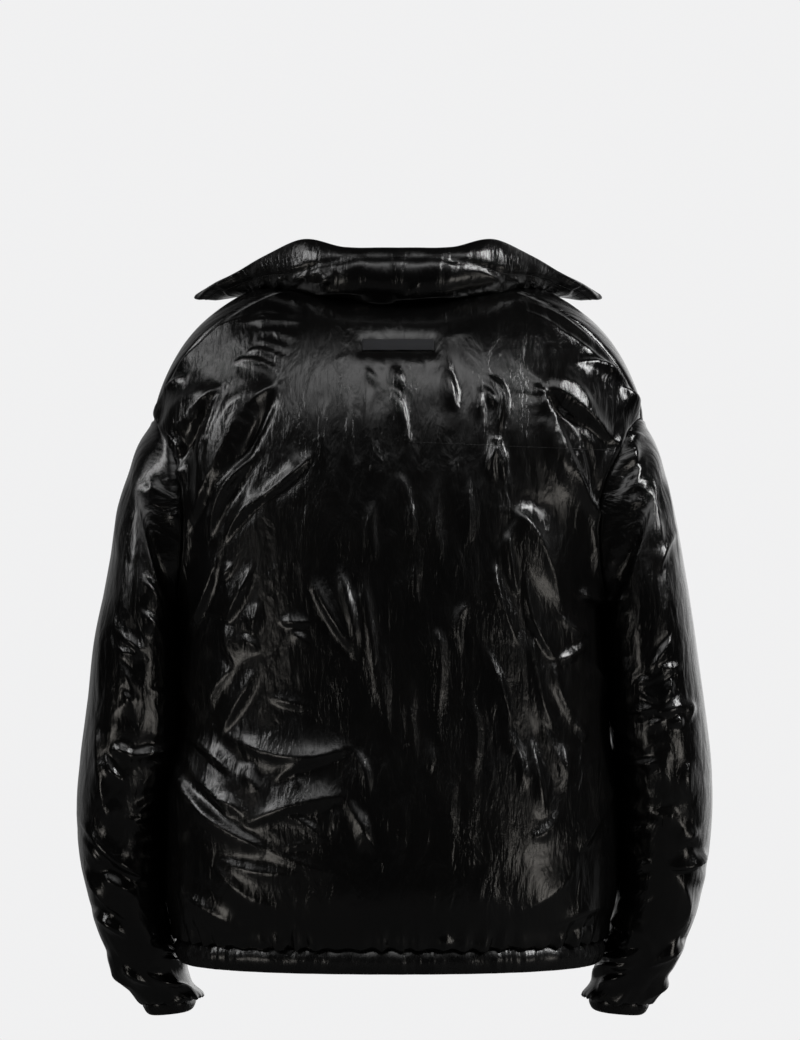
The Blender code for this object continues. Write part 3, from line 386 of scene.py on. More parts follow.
RIGHT_SLEEVE_STROKES = (
    (-231, -201, -230, -169, -233, -150, 5, 4, 0.3),
    (-233, -150, -244, -146, -265, -152, 6, 5, 0.4),
    (-252, -153, -255, -171, -259, -190, 7, 7, 0.3),
    (-267, -175, -255, -199, -230, -230, 5, 5, -0.4),
    (-256, -215, -264, -207, -274, -201, 4, 7, 0),
    (-231, -240, -249, -227, -269, -216, 4, 7, 0),
    (-229, -273, -243, -266, -255, -259, 4, 4, 0.3),
    (-228, -281, -231, -287, -234, -294, 4, 4, 0),
    (-233, -262, -244, -251, -257, -245, 3, 5, 0),
    (-301, -255, -290, -278, -285, -300, 3, 4, 0),
    (-280, -224, -283, -251, -288, -273, 3, 5, 0),
    (-290, -196, -294, -229, -307, -284, 3, 5, 0),
    (-224, -321, -230, -325, -235, -330, 4, 4, 0),
    (-222, -346, -235, -334, -248, -321, 5, 4, 0.3),
    (-230, -352, -240, -346, -251, -337, 4, 4, 0),
    (-218, -371, -227, -376, -239, -373, 3, 4, 0),
    (-221, -389, -237, -388, -255, -390, 4, 3.5, 0),
    (-222, -395, -237, -395, -253, -396, 3, 3, 0),
    (-222, -400, -237, -400, -255, -405, 4, 3.5, 0),
    (-255, -404, -244, -423, -230, -433, 6, 7, 0.3),
    (-297, -369, -285, -388, -277, -407, 3.6, 4.2, -0.4),
    (-280, -401, -294, -402, -307, -401, 3, 3.4, 0.3),
    (-281, -411, -288, -409, -294, -410, 1.8, 3.4, 0),
    (-297, -412, -296, -425, -290, -438, 3, 3.4, 0.3),
    (-259, -420, -269, -415, -278, -417, 2.4, 3.4, 0),
    (-260, -423, -273, -432, -285, -441, 3, 3.4, -0.4),
    (-230, -442, -239, -443, -246, -449, 2.4, 3.4, 0),
    (-248, -449, -265, -449, -281, -446, 4.2, 5.1, -0.4),
    (-251, -456, -264, -456, -277, -455, 2.4, 2.5, 0),
    (-281, -451, -298, -448, -314, -437, 3.6, 7.6, -0.3),
    (-304, -454, -306, -459, -309, -467, 4, 4, 0),
    (-317, -436, -318, -447, -316, -460, 4, 4, 0),
    (-272, -465, -282, -461, -292, -460, 3, 4, 0),
    (-233, -463, -246, -467, -253, -485, 5, 8, 0),
    (-239, -492, -253, -494, -240, -501, 4, 4, 0),
    (-265, -506, -272, -505, -282, -503, 3, 4, 0),
    (-239, -519, -246, -521, -253, -518, 4, 5, 0),
    (-239, -536, -246, -532, -254, -527, 4, 4, 0),
    (-240, -547, -249, -546, -260, -542, 3, 4, 0),
    (-241, -556, -251, -554, -261, -548, 4, 4, 0),
    (-240, -565, -253, -574, -265, -575, 4, 4, 0.3),
    (-243, -596, -255, -599, -263, -607, 5, 4, 0.4),
    (-264, -578, -255, -582, -245, -589, 4, 4, 0),
    (-272, -611, -265, -619, -254, -628, 4, 4, 0),
    (-332, -600, -321, -613, -295, -620, 7, 6, 0.5),
    (-326, -574, -316, -584, -303, -591, 4, 8, 0),
    (-298, -551, -296, -565, -290, -578, 4, 6, 0),
    (-318, -502, -314, -523, -318, -545, 4, 9, 0),
    (-294, -491, -290, -512, -294, -534, 3, 8, 0),
    (-233, -660, -249, -653, -266, -645, 4, 5, 0.3),
    (-233, -681, -244, -671, -255, -663, 6, 13, 0),
    (-221, -712, -242, -715, -265, -704, 4, 4, 0.3),
    (-227, -720, -236, -713, -244, -709, 3, 4, 0),
    (-213, -738, -233, -726, -257, -722, 4, 4, 0),
    (-220, -747, -236, -739, -253, -733, 3, 4, 0),
    (-272, -725, -292, -711, -310, -698, 4, 4, 0.3),
    (-280, -717, -294, -704, -305, -691, 3, 4, 0),
    (-270, -757, -283, -747, -296, -735, 4, 4, 0),
    (-213, -764, -233, -763, -254, -748, 4, 4, 0),
    (-223, -772, -247, -774, -267, -763, 3, 3, 0),
    (-307, -632, -312, -660, -301, -692, 4, 10, 0),
)

# The same kind of creases on the hidden front, more widely spaced, seen from behind through the jacket.
FRONT_STROKES = (
    (-190, -120, -150, -170, -120, -235, 3.0, 9.0, 0.5),
    (-205, -210, -160, -235, -95, -300, 3.6, 10.0, 0.6),
    (-215, -300, -175, -330, -120, -345, 3.0, 8.0, -0.4),
    (-140, -130, -128, -210, -133, -300, 2.4, 7.0, -0.5),
    (-92, -180, -84, -260, -95, -350, 2.6, 8.0, 0.4),
    (-60, -220, -52, -330, -57, -430, 2.2, 7.0, 0.5),
    (-115, -330, -105, -400, -120, -480, 2.8, 8.0, -0.5),
    (-175, -390, -160, -450, -168, -540, 2.6, 9.0, 0.5),
    (-80, -440, -72, -520, -84, -600, 2.6, 8.0, 0.4),
    (-30, -420, -26, -500, -31, -590, 2.0, 6.0, -0.4),
    (-135, -520, -128, -590, -134, -660, 2.6, 7.0, -0.4),
    (-205, -480, -196, -560, -200, -640, 2.4, 8.0, 0.3),
    (-55, -600, -50, -640, -53, -680, 2.6, 6.0, 0.4),
    (-100, -620, -95, -655, -97, -686, 2.6, 6.0, -0.3),
    (185, -125, 150, -180, 112, -250, 3.2, 9.0, -0.5),
    (208, -215, 165, -250, 100, -285, 3.2, 9.0, -0.6),
    (210, -310, 170, -335, 125, -340, 3.0, 8.0, 0.4),
    (135, -140, 124, -220, 130, -320, 2.4, 8.0, 0.5),
    (88, -200, 80, -290, 90, -380, 2.4, 7.0, -0.5),
    (48, -240, 42, -330, 50, -440, 2.2, 7.0, -0.4),
    (118, -360, 108, -430, 118, -500, 2.8, 8.0, 0.5),
    (170, -380, 158, -470, 166, -560, 2.6, 9.0, -0.5),
    (78, -450, 70, -530, 80, -620, 2.4, 8.0, -0.4),
    (30, -460, 26, -540, 30, -620, 2.0, 6.0, 0.4),
    (138, -540, 130, -600, 136, -665, 2.6, 7.0, 0.4),
    (203, -500, 195, -570, 200, -650, 2.4, 8.0, -0.3),
    (58, -610, 53, -650, 56, -684, 2.6, 6.0, -0.4),
    (102, -630, 96, -660, 99, -686, 2.6, 6.0, 0.3),
)
# On the sleeves' hidden sides, by the distance from the middle of the jacket.
LEFT_SLEEVE_FRONT_STROKES = (
    (258, -220, 262, -262, 290, -300, 3.2, 11.0, 0.5),
    (246, -292, 268, -318, 305, -322, 3.6, 8.0, 0.6),
    (250, -338, 262, -368, 300, -392, 2.6, 10.0, -0.5),
    (285, -350, 305, -366, 322, -362, 2.4, 6.0, 0.3),
    (254, -402, 282, -404, 318, -424, 3.8, 8.0, 0.6),
    (262, -430, 272, -452, 296, -478, 2.8, 9.0, 0.4),
    (256, -482, 290, -470, 334, -478, 3.6, 7.0, -0.6),
    (262, -508, 286, -530, 330, -524, 3.2, 9.0, 0.5),
    (300, -545, 318, -562, 338, -560, 2.4, 6.0, -0.4),
    (264, -560, 276, -588, 300, -612, 3.0, 10.0, 0.5),
    (268, -624, 296, -622, 330, -640, 3.2, 7.0, 0.6),
    (262, -660, 276, -682, 304, -688, 3.0, 8.0, -0.5),
    (252, -716, 264, -706, 290, -716, 2.6, 5.0, 0.4),
    (240, -738, 252, -730, 268, -742, 2.2, 4.0, 0.3),
)
RIGHT_SLEEVE_FRONT_STROKES = (
    (-250, -236, -268, -252, -292, -250, 3.0, 9.0, -0.5),
    (-242, -280, -252, -320, -284, -350, 3.4, 10.0, -0.6),
    (-276, -300, -292, -312, -306, -306, 2.4, 6.0, 0.4),
    (-244, -372, -270, -364, -312, -380, 3.6, 8.0, -0.6),
    (-248, -410, -276, -428, -318, -418, 3.0, 7.0, 0.5),
    (-250, -440, -262, -476, -292, -500, 3.2, 11.0, -0.5),
    (-286, -452, -306, -462, -326, -456, 2.4, 6.0, -0.3),
    (-256, -516, -290, -514, -328, -534, 3.6, 8.0, 0.6),
    (-258, -566, -284, -556, -322, -574, 3.4, 7.0, -0.6),
    (-262, -590, -272, -616, -296, -640, 2.8, 10.0, 0.5),
    (-290, -612, -308, -620, -326, -612, 2.2, 6.0, -0.4),
    (-258, -664, -280, -658, -312, -672, 3.2, 7.0, -0.5),
    (-248, -704, -264, -700, -290, -706, 2.6, 5.0, 0.4),
    (-232, -736, -246, -728, -266, -738, 2.2, 4.0, 0.3),
)
# On the collar: millimetres round from the nape, the wearer's left first, and up its outer face and over.
COLLAR_STROKES = (
    (-75, 20, -40, 32, 8, 24, 4.5, 8.0, 0.5),
    (-10, 12, 20, 20, 48, 14, 3.6, 7.0, -0.4),
    (36, 30, 66, 36, 100, 22, 4.0, 8.0, 0.4),
    (-100, 16, -128, 30, -160, 26, 4.0, 8.0, 0.4),
    (110, 14, 140, 28, 175, 24, 4.0, 8.0, -0.4),
    (-4, 30, -12, 38, -20, 50, 3.0, 4.0, 0.4),
    (70, 56, 78, 48, 96, 44, 4.0, 4.5, 0.5),
    (84, 62, 96, 54, 112, 52, 3.6, 4.0, -0.4),
    (104, 62, 112, 50, 132, 40, 4.2, 5.0, 0.5),
    (126, 60, 142, 52, 160, 46, 3.0, 4.5, 0.3),
    (150, 50, 158, 42, 178, 36, 3.4, 4.0, 0.4),
    (176, 60, 190, 48, 206, 44, 3.4, 5.0, 0.5),
    (196, 58, 214, 44, 238, 40, 3.6, 6.0, -0.4),
    (-96, 62, -110, 50, -126, 44, 3.8, 5.0, 0.4),
    (-120, 62, -140, 52, -158, 48, 3.2, 5.0, 0.4),
    (-158, 50, -176, 42, -186, 30, 4.2, 5.0, 0.5),
    (-172, 58, -186, 46, -196, 34, 3.8, 4.5, -0.5),
    (-192, 60, -212, 46, -240, 42, 3.6, 6.0, 0.4),
    (-246, 60, -250, 42, -268, 30, 3.0, 6.0, 0.4),
    (250, 58, 256, 42, 270, 28, 3.0, 6.0, 0.3),
)


# ---- Curves and grids ----


def smooth_rows(table, at):
    """The other columns of a table at these values of its first one, on smooth curves through its rows."""
    rows = np.asarray(table, float)
    keys, values = rows[:, 0], rows[:, 1:]
    slopes = np.gradient(values, keys, axis=0)
    at = np.clip(np.asarray(at, float), keys[0], keys[-1])
    i = np.clip(np.searchsorted(keys, at, side="right") - 1, 0, len(keys) - 2)
    span = (keys[i + 1] - keys[i])[..., None]
    t = (at - keys[i])[..., None] / span
    found = (
        values[i] * (2 * t**3 - 3 * t**2 + 1)
        + slopes[i] * span * (t**3 - 2 * t**2 + t)
        + values[i + 1] * (3 * t**2 - 2 * t**3)
        + slopes[i + 1] * span * (t**3 - t**2)
    )
    return np.moveaxis(found, -1, 0)


TINY = 1e-12


def unit(vectors):
    length = np.linalg.norm(vectors, axis=-1, keepdims=True)
    return vectors / np.maximum(length, TINY)


def signed_power(values, power):
    return np.sign(values) * np.abs(values) ** power


def smoothstep(low, high, values):
    t = np.clip((values - low) / (high - low), 0, 1)
    return t * t * (3 - 2 * t)


def flat_section(angles, left, right, back, front, squareness):
    across = signed_power(np.cos(angles), 2 / squareness)
    along = signed_power(np.sin(angles), 2 / squareness)
    return across * np.where(across > 0, left, right), along * np.where(along > 0, back, front)


def midpoints(before, here, after, last):
    """Half way between here and after, on a cubic through all four."""
    return (9 * (here + after) - before - last) / 16


def double(grid, closed):
    """A grid at twice its fineness, on smooth curves through its points."""
    for axis in (1, 0):
        if axis == 1 and closed:
            before, after, last = (np.roll(grid, n, axis=1) for n in (1, -1, -2))
            middles = midpoints(before, grid, after, last)
            grid = np.stack([grid, middles], axis=2).reshape(grid.shape[0], -1, *grid.shape[2:])
            continue
        grid = np.moveaxis(grid, axis, 0)
        padded = np.concatenate([2 * grid[:1] - grid[1:2], grid, 2 * grid[-1:] - grid[-2:-1]])
        middles = midpoints(padded[:-3], padded[1:-2], padded[2:-1], padded[3:])
        wide = np.empty((2 * len(grid) - 1, *grid.shape[1:]))
        wide[0::2], wide[1::2] = grid, middles
        grid = np.moveaxis(wide, 0, axis)
    return grid


def grid_slopes(grid, closed):
    """Steps along the columns' direction and along the rows' direction at each point."""
    if closed:
        around = (np.roll(grid, -1, axis=1) - np.roll(grid, 1, axis=1)) / 2
    else:
        around = np.gradient(grid, axis=1)
    return around, np.gradient(grid, axis=0)


def grid_normals(grid, closed):
    around, along = grid_slopes(grid, closed)
    return unit(np.cross(around, along))


def arc_lengths(grid, axis):
    steps = np.linalg.norm(np.diff(grid, axis=axis), axis=-1)
    pad = [(0, 0), (0, 0)]
    pad[axis] = (1, 0)
    return np.pad(np.cumsum(steps, axis=axis), pad)


def line_run(points):
    """Metres along a line of points, from its first."""
    return arc_lengths(points[:, None], 0)[:, 0]


def along_path(at, run, path):
    """The points, or other rows of three, so far along a run."""
    return np.stack([np.interp(at, run, path[:, k]) for k in range(3)], axis=-1)


def curve_through(start, middle, end, t):
    """The plain curve that is at start, middle and end where t is 0, 0.5 and 1."""
    pull = 2 * middle - (start + end) / 2
    return start * (1 - t) ** 2 + pull * 2 * t * (1 - t) + end * t**2


def bell(values, place, reach):
    return np.exp(-(((values - place) / reach) ** 2))


def cloth_run(grid):
    """Metres across the cloth from its middle column, and along it from its first row."""
    across = arc_lengths(grid, 1)
    middle = grid.shape[1] // 2
    across = across - across[:, middle : middle + 1]
    along = arc_lengths(grid, 0)[:, middle : middle + 1]
    return across, np.broadcast_to(along, across.shape)


# ---- Body ----


def body_points(station, angles):
    station, angles = np.broadcast_arrays(np.asarray(station, float), np.asarray(angles, float))
    level = ARMHOLE_TOP + np.minimum(station, 0)
    x, y = flat_section(angles, *smooth_rows(BODY_ROWS, level))
    side_in, side_up, end_in, end_up = smooth_rows(YOKE_ROWS, np.maximum(station, 0))
    endness = np.sin(angles) ** 2
    inward = side_in + (end_in - side_in) * endness
    upward = side_up + (end_up - side_up) * endness
    neck_x, neck_y = flat_section(
        angles, NECK_HALF_WIDTH, NECK_HALF_WIDTH, NECK_BACK, NECK_FRONT, NECK_SQUARENESS
    )
    neck_z = smooth_rows(NECK_LEVELS, np.sin(angles))[0]
    x = x + (neck_x - x) * inward
    y = y + (neck_y - y) * inward
    z = level + (neck_z - level) * upward
    return np.stack([x, y, z], axis=-1)


def armhole_turn(station):
    share = (station - (UNDERARM - ARMHOLE_TOP)) / (ARMHOLE_TOP - UNDERARM)
    return np.arccos(np.clip(2 * share - 1, -1, 1))


def armhole_lean(turn):
    return ARMHOLE_TOP_ANGLE * (np.cos(turn) + 1) / 2


def armhole_spread(turn):
    sine = np.sin(turn)
    return sine * np.where(sine > 0, ARMHOLE_BACK_SPREAD, ARMHOLE_FRONT_SPREAD)


def side_line(station):
    over = ARMHOLE_TOP_ANGLE + (SHOULDER_SEAM_NECK_ANGLE - ARMHOLE_TOP_ANGLE) * station
    return np.where(station < 0, armhole_lean(armhole_turn(station)), over)


def front_edge_angle(station, side):
    middle, seam = np.full(station.shape, math.pi / 2), np.zeros(station.shape)
    for _ in range(HALVINGS):
        angle = (middle + seam) / 2
        mirrored = -angle if side > 0 else math.pi + angle
        places = body_points(station, mirrored)
        outside = np.abs(places[..., 0]) > smooth_rows(FRONT_EDGE, places[..., 2])[0]
        seam, middle = np.where(outside, angle, seam), np.where(outside, middle, angle)
    return mirrored


def body_stations():
    """Stations of the fine rows from hem seam to neck seam, closer together at the armhole's ends."""
    below = np.linspace(HEM_SEAM, UNDERARM, HEM_TO_UNDERARM_ROWS + 1)[:-1] - ARMHOLE_TOP
    steps = np.linspace(0, 1, ARMHOLE_ROWS + 1)
    rounded = (1 - np.cos(math.pi * steps)) / 2
    shares = ARMHOLE_CLOSENESS * rounded + (1 - ARMHOLE_CLOSENESS) * steps
    over = np.linspace(0, 1, YOKE_ROWS_FINE + 1)[1:]
    return np.concatenate([below, (UNDERARM - ARMHOLE_TOP) * shares[::-1], over])


def body_grid(start, end, columns, solid_columns, sides, over_back):
    """Fine points of the plain surface between two edges, given as an angle for each station.

    sides says for each edge if it is a seam on the wearer's left, 1, on the right, -1, or the zip edge, 0.
    """
    stations = body_stations()
    fine = start[:, None] + (end - start)[:, None] * np.linspace(0, 1, FINE_STEPS)
    lengths = arc_lengths(body_points(stations[:, None], fine), 1)
    trims = [SEAM_GAP / 2 * abs(side) for side in sides]
    angles = np.array([
        np.interp(np.linspace(trims[0], run[-1] - trims[1], columns + 1), run, row)
        for run, row in zip(lengths, fine)
    ])
    spread = armhole_spread(over_back * armhole_turn(stations))[:, None]
    place = np.linspace(0, solid_columns, columns + 1)
    for side, away in ((sides[0], place), (sides[1], place[::-1])):
        angles = angles + side * spread * np.clip(1 - away / ARMHOLE_REACH, 0, 1) ** 2
    return body_points(stations[:, None], angles)


# ---- Sleeves ----


def sleeve_ring(side, ring, turns):
    rows = [(index, *row) for index, row in enumerate(SLEEVE_ROWS)]
    left_x, right_x, outer_z, left_in, right_in, inner_z, middle_y, half_depth = smooth_rows(rows, ring)
    outer_x, inner_x = (left_x, left_in) if side > 0 else (-right_x, -right_in)
    reach = signed_power(np.cos(turns), 2 / SLEEVE_SQUARENESS)
    depth = signed_power(np.sin(turns), 2 / SLEEVE_SQUARENESS)
    x = (outer_x + inner_x) / 2 + reach * (outer_x - inner_x) / 2
    z = (outer_z + inner_z) / 2 + reach * (outer_z - inner_z) / 2
    return np.stack([x, middle_y + depth * half_depth, z], axis=-1)


# Which way the sleeve leaves the armhole: outward at half height, its slope and its curve towards the top
SEAM_OUTWARD = (0.75, 1.1, 0.35)
SEAM_PLACE = -0.9
FINE_TURNS = 721
MIDDLE_RING = 6.0


def armhole_seam(side, turns):
    station = (UNDERARM - ARMHOLE_TOP) * (1 - np.cos(turns)) / 2
    angle = armhole_lean(turns) + armhole_spread(turns)
    points = body_points(station, angle if side > 0 else math.pi - angle)
    c = np.cos(turns)
    half_way, slope, curve = SEAM_OUTWARD
    through = unit(np.stack([side * (half_way + slope * c + curve * c * c), np.sin(turns), c], axis=-1))
    return points, through


def sleeve_turns():
    """Turns of the sleeve's columns from the underarm seam round, evenly spaced on a ring half way down."""
    fine = np.linspace(math.pi, 3 * math.pi, FINE_TURNS)
    run = line_run(sleeve_ring(1, np.full(fine.shape, MIDDLE_RING), fine))
    return np.interp(np.linspace(0, run[-1], SLEEVE_COLUMNS, endpoint=False), run, fine)


def sleeve_grid(side):
    """Fine plain points of a sleeve from the armhole seam to the cuff seam."""
    turns = sleeve_turns()
    seam, through = armhole_seam(side, turns)
    along = np.roll(seam, -1, axis=0) - np.roll(seam, 1, axis=0)
    away = unit(np.cross(along, through))
    away = away * np.sign(away[:, :1] * side)
    rings = [seam + away * SEAM_GAP]
    rings += [sleeve_ring(side, float(ring), turns) for ring in range(len(SLEEVE_ROWS))]
    keys = np.concatenate([[SEAM_PLACE], np.arange(len(SLEEVE_ROWS))])
    table = np.hstack([keys[:, None], np.array(rings).reshape(len(rings), -1)])
    lengths = np.linalg.norm(np.diff(np.array(rings), axis=0), axis=-1).mean(axis=1)
    run = np.concatenate([[0], np.cumsum(lengths)])
    at = np.interp(np.linspace(0, run[-1], SLEEVE_ROWS_FINE + 1), run, keys)
    return np.moveaxis(smooth_rows(table, at), 0, -1).reshape(len(at), SLEEVE_COLUMNS, 3)


# ---- Creases ----

STROKE_STEPS = 10
CREST_SHARPNESS = 1.15
LEAN_STEEP = 0.85
LEAN_BROAD = 1.7
LEAST_LEAN = 0.30
HOLLOW_SHARE = 0.35
# In widths of the steep side
HOLLOW_AWAY = 2.6
HOLLOW_WIDTH = 1.6
# In the stroke's own widths
STROKE_REACH = 4.5
# At a stroke's start, and added along it
TAPER_RUN = (0.03, 0.94)
TAPER_WIDTH = (0.45, 0.55)


def picture_plane(points):
    """Where the camera sees these points in the upright plane through the origin, in millimetres."""
    scale = CAMERA_PLACE.y / (CAMERA_PLACE.y - points[..., 1])
    x = CAMERA_PLACE.x + (points[..., 0] - CAMERA_PLACE.x) * scale
    z = CAMERA_PLACE.z + (points[..., 2] - CAMERA_PLACE.z) * scale
    return x / MM, z / MM


def relief(u, v, strokes):
    """Height in metres of these strokes at points given in millimetres."""
    total = np.zeros(u.shape)
    steps = np.linspace(0, 1, STROKE_STEPS + 1)[:, None]
    for *ends, height, width, lean in strokes:
        start, middle, end = np.array(ends, float).reshape(3, 2)
        path = curve_through(start, middle, end, steps)
        reach = STROKE_REACH * width
        low, high = path.min(axis=0) - reach, path.max(axis=0) + reach
        near = (u > low[0]) & (u < high[0]) & (v > low[1]) & (v < high[1])
        if not near.any():
            continue
        place = np.stack([u[near], v[near]], axis=-1)
        best = np.full(len(place), np.inf)
        signed, share = np.zeros(len(place)), np.zeros(len(place))
        for k in range(STROKE_STEPS):
            step = path[k + 1] - path[k]
            offset = place - path[k]
            t = np.clip((offset @ step) / (step @ step), 0, 1)
            gap = offset - t[:, None] * step
            away = np.hypot(gap[:, 0], gap[:, 1])
            side = np.sign(offset[:, 0] * step[1] - offset[:, 1] * step[0])
            closer = away < best
            best = np.where(closer, away, best)
            signed = np.where(closer, away * side, signed)
            share = np.where(closer, (k + t) / STROKE_STEPS, share)
        steep_side = 1 if lean >= 0 else -1
        lean = max(abs(lean), LEAST_LEAN)
        taper = np.sin(math.pi * (TAPER_RUN[0] + TAPER_RUN[1] * share))
        spread = width * (TAPER_WIDTH[0] + TAPER_WIDTH[1] * taper)
        across = signed * steep_side
        side_width = spread * np.where(across > 0, 1 - LEAN_STEEP * lean, 1 + LEAN_BROAD * lean)
        crest = np.exp(-((np.abs(signed) / side_width) ** CREST_SHARPNESS))
        steep = spread * (1 - LEAN_STEEP * lean)
        hollow = np.exp(-(((across - HOLLOW_AWAY * steep) / (HOLLOW_WIDTH * steep)) ** 2))
        hollow = HOLLOW_SHARE * lean * hollow
        total[near] += height * MM * taper * (crest - hollow)
    return total


# ---- Settling the cloth ----

# Rows and columns from each point to those its threads reach
LINKS = ((0, 1), (1, 0), (1, 1), (1, -1), (0, 2), (2, 0))
# How strongly threads pull, cloth resists a bend, padding pushes out and creases keep their height
PULL = 0.22
STIFFNESS = 0.34
PUFF = 0.00002
KEEP = 0.01
# Keeps a length of nothing from dividing
LEAST_LENGTH = 1e-9
SPEED_KEPT = 0.80
# Rounds on every second point, then on all of them
SETTLE_ROUNDS = (200, 130)
# How far below and above its plain surface the cloth may go
HEIGHT_LIMITS = (-0.009, 0.013)


def neighbours(grid, down, over, closed):
    """Two grids that pair each point with the one so many rows and columns on."""
    rows, columns = grid.shape[:2]
    if closed:
        return grid[: rows - down], np.roll(grid, -over, axis=1)[down:]
    return (
        grid[: rows - down, max(0, -over) : columns - max(0, over)],
        grid[down:, max(0, over) : columns - max(0, -over)],
    )


def share_out(total, change, down, over, closed):
    """Adds a change to each first point of those pairs, and takes it from the second."""
    rows, columns = total.shape[:2]
    if closed:
        total[: rows - down] += change
        total[down:] -= np.roll(change, over, axis=1)
        return
    total[: rows - down, max(0, -over) : columns - max(0, over)] += change
    total[down:, max(0, over) : columns - max(0, -over)] -= change


def bend_of(grid, closed):
    """How far each point lies from the mean of its four neighbours."""
    found = np.zeros_like(grid)
    found[1:-1] += grid[:-2] + grid[2:] - 2 * grid[1:-1]
    if closed:
        found += np.roll(grid, 1, axis=1) + np.roll(grid, -1, axis=1) - 2 * grid
    else:
        found[:, 1:-1] += grid[:, :-2] + grid[:, 2:] - 2 * grid[:, 1:-1]
    return found / 4


def relax(points, seed, plain, normals, ease, free, closed, rounds, limits):
    """Lets cloth with more length than its room has buckle into wrinkles, round the creases of the seed.

    ease is (direction, amount) pairs: a field of unit vectors and the share of length added along them.
    """
    points, seed, plain, normals = (a.astype(np.float32) for a in (points, seed, plain, normals))
    free = free.astype(np.float32)[..., None]
    rests = []
    for down, over in LINKS:
        a, b = neighbours(seed, down, over, closed)
        p, q = neighbours(plain, down, over, closed)
        step = unit(q - p)
        length = np.linalg.norm(b - a, axis=-1)
        extra = np.zeros(length.shape, np.float32)
        for direction, amount in ease:
            along, _ = neighbours(direction.astype(np.float32), down, over, closed)
            share, _ = neighbours(amount.astype(np.float32), down, over, closed)
            extra += share * (step * along).sum(axis=-1) ** 2
        rests.append((length * (1 + extra))[..., None])
    speed = np.zeros_like(points)
    for _ in range(rounds):
        push = np.zeros_like(points)
        for (down, over), rest in zip(LINKS, rests):
            a, b = neighbours(points, down, over, closed)
            step = b - a
            length = np.sqrt((step * step).sum(axis=-1, keepdims=True)) + LEAST_LENGTH
            share_out(push, step * (0.5 * (1 - rest / length)), down, over, closed)
        moved = points - seed
        push = push * PULL - bend_of(bend_of(moved, closed), closed) * STIFFNESS
        height = (moved * normals).sum(axis=-1, keepdims=True)
        push += normals * (PUFF - KEEP * height)
        speed = SPEED_KEPT * speed + push * free
        points = points + speed
        height = ((points - plain) * normals).sum(axis=-1, keepdims=True)
        points = points + normals * (np.clip(height, *limits) - height)
    return points.astype(float)


def settle(plain, raised, normals, ease, free, closed, noise, rounds=SETTLE_ROUNDS, limits=HEIGHT_LIMITS):
    """The settled surface: first on every second point, then on all of them."""
    seed = plain + normals * (raised * free)[..., None]
    coarse = [a[::2, ::2] for a in (seed, plain, normals)]
    coarse_ease = [(d[::2, ::2], a[::2, ::2]) for d, a in ease]
    start = coarse[0] + coarse[2] * (noise[::2, ::2] * free[::2, ::2])[..., None]
    settled = relax(start, *coarse, coarse_ease, free[::2, ::2], closed, rounds[0], limits)
    fine = seed + double(settled - coarse[0], closed)
    return relax(fine, seed, plain, normals, ease, free, closed, rounds[1], limits)


def between_knots(at):
    """The knot before each place, and a smooth share of the way to the next."""
    knot = at.astype(int)
    t = at - knot
    return knot, t * t * (3 - 2 * t)


def soft_noise(shape, spacing, closed, rng):
    """Smooth random values between about -1 and 1, with a new one every so many rows and columns."""
    rows, columns = shape
    down, over = spacing
    knots = rng.standard_normal((rows // down + 3, columns // over + (0 if closed else 3)))
    i, t = between_knots((np.arange(rows) / down)[:, None])
    i = i[:, 0]
    tall = knots[i] * (1 - t) + knots[i + 1] * t
    at = np.arange(columns) / columns * knots.shape[1] if closed else np.arange(columns) / over
    i, t = between_knots(at)
    return tall[:, i] * (1 - t) + tall[:, (i + 1) % tall.shape[1]] * t


# ---- Materials ----

NOISE_LOW = 0.3
NOISE_HIGH = 0.7
# Noises: how many grains to a metre across and along the cloth, detail, distortion
NYLON_GRAINS = {
    "tone": ((9, 6, 1), 4, 0.0),
    "sheen": ((60, 14, 1), 4, 0.0),
    "patches": ((28, 13, 1), 2, 0.0),
    "long": ((210, 30, 1), 3, 0.25),
    "short": ((520, 90, 1), 2, 0.2),
    "slack": ((60, 22, 1), 4, 0.5),
    "weave": ((2600, 2600, 1), 1, 0.0),
}
NYLON_DARK = (0.0022, 0.0022, 0.0023)
NYLON_LIGHT = (0.0052, 0.0050, 0.0048)
NYLON_ROUGHNESS = (0.12, 0.18)
NYLON_DULLED = 0.07
NYLON_SPECULAR = 0.55
NYLON_COAT = 0.30
NYLON_COAT_ROUGHNESS = 0.13
# low, high, and where in the noise they are reached
NYLON_PATCHES = (0.06, 1.0, 0.40, 0.66)
# How high each grain stands, in metres
NYLON_RISES = {"slack": 0.0028, "long": 0.0014, "short": 0.0007, "weave": 0.00006}
BINDING_TONE = ((30, 30, 1), 4)
BINDING_DARK = (0.0035, 0.0035, 0.0038)
BINDING_LIGHT = (0.0085, 0.0085, 0.0085)
BINDING_GRAIN = ((260, 110, 1), 3, 0.6)
BINDING_ROUGHNESS = (0.20, 0.32)
BINDING_COAT = 0.2
BINDING_COAT_ROUGHNESS = 0.18
BINDING_RISE = 0.0006
# The wave texture's scale for one band to a metre
ONE_BAND = math.pi / 10
WEAVE_WAVER = 0.4
# How much the weave's height lightens the threads' crowns in the colour: painted shade between the threads.
WEAVE_PAINTED_SHADE = 0.5
WOVEN_WEAR = ((160, 160, 1), 4)
WOVEN_SPREAD = (-0.08, 0.06)
WOVEN_RISE = 0.0002
HARD_WEAR = ((300, 300, 300), 4)
HARD_SCRATCHES = ((2500, 2500, 220), 2)
HARD_SPREAD = (-0.08, 0.1)
HARD_RISE = 0.00004


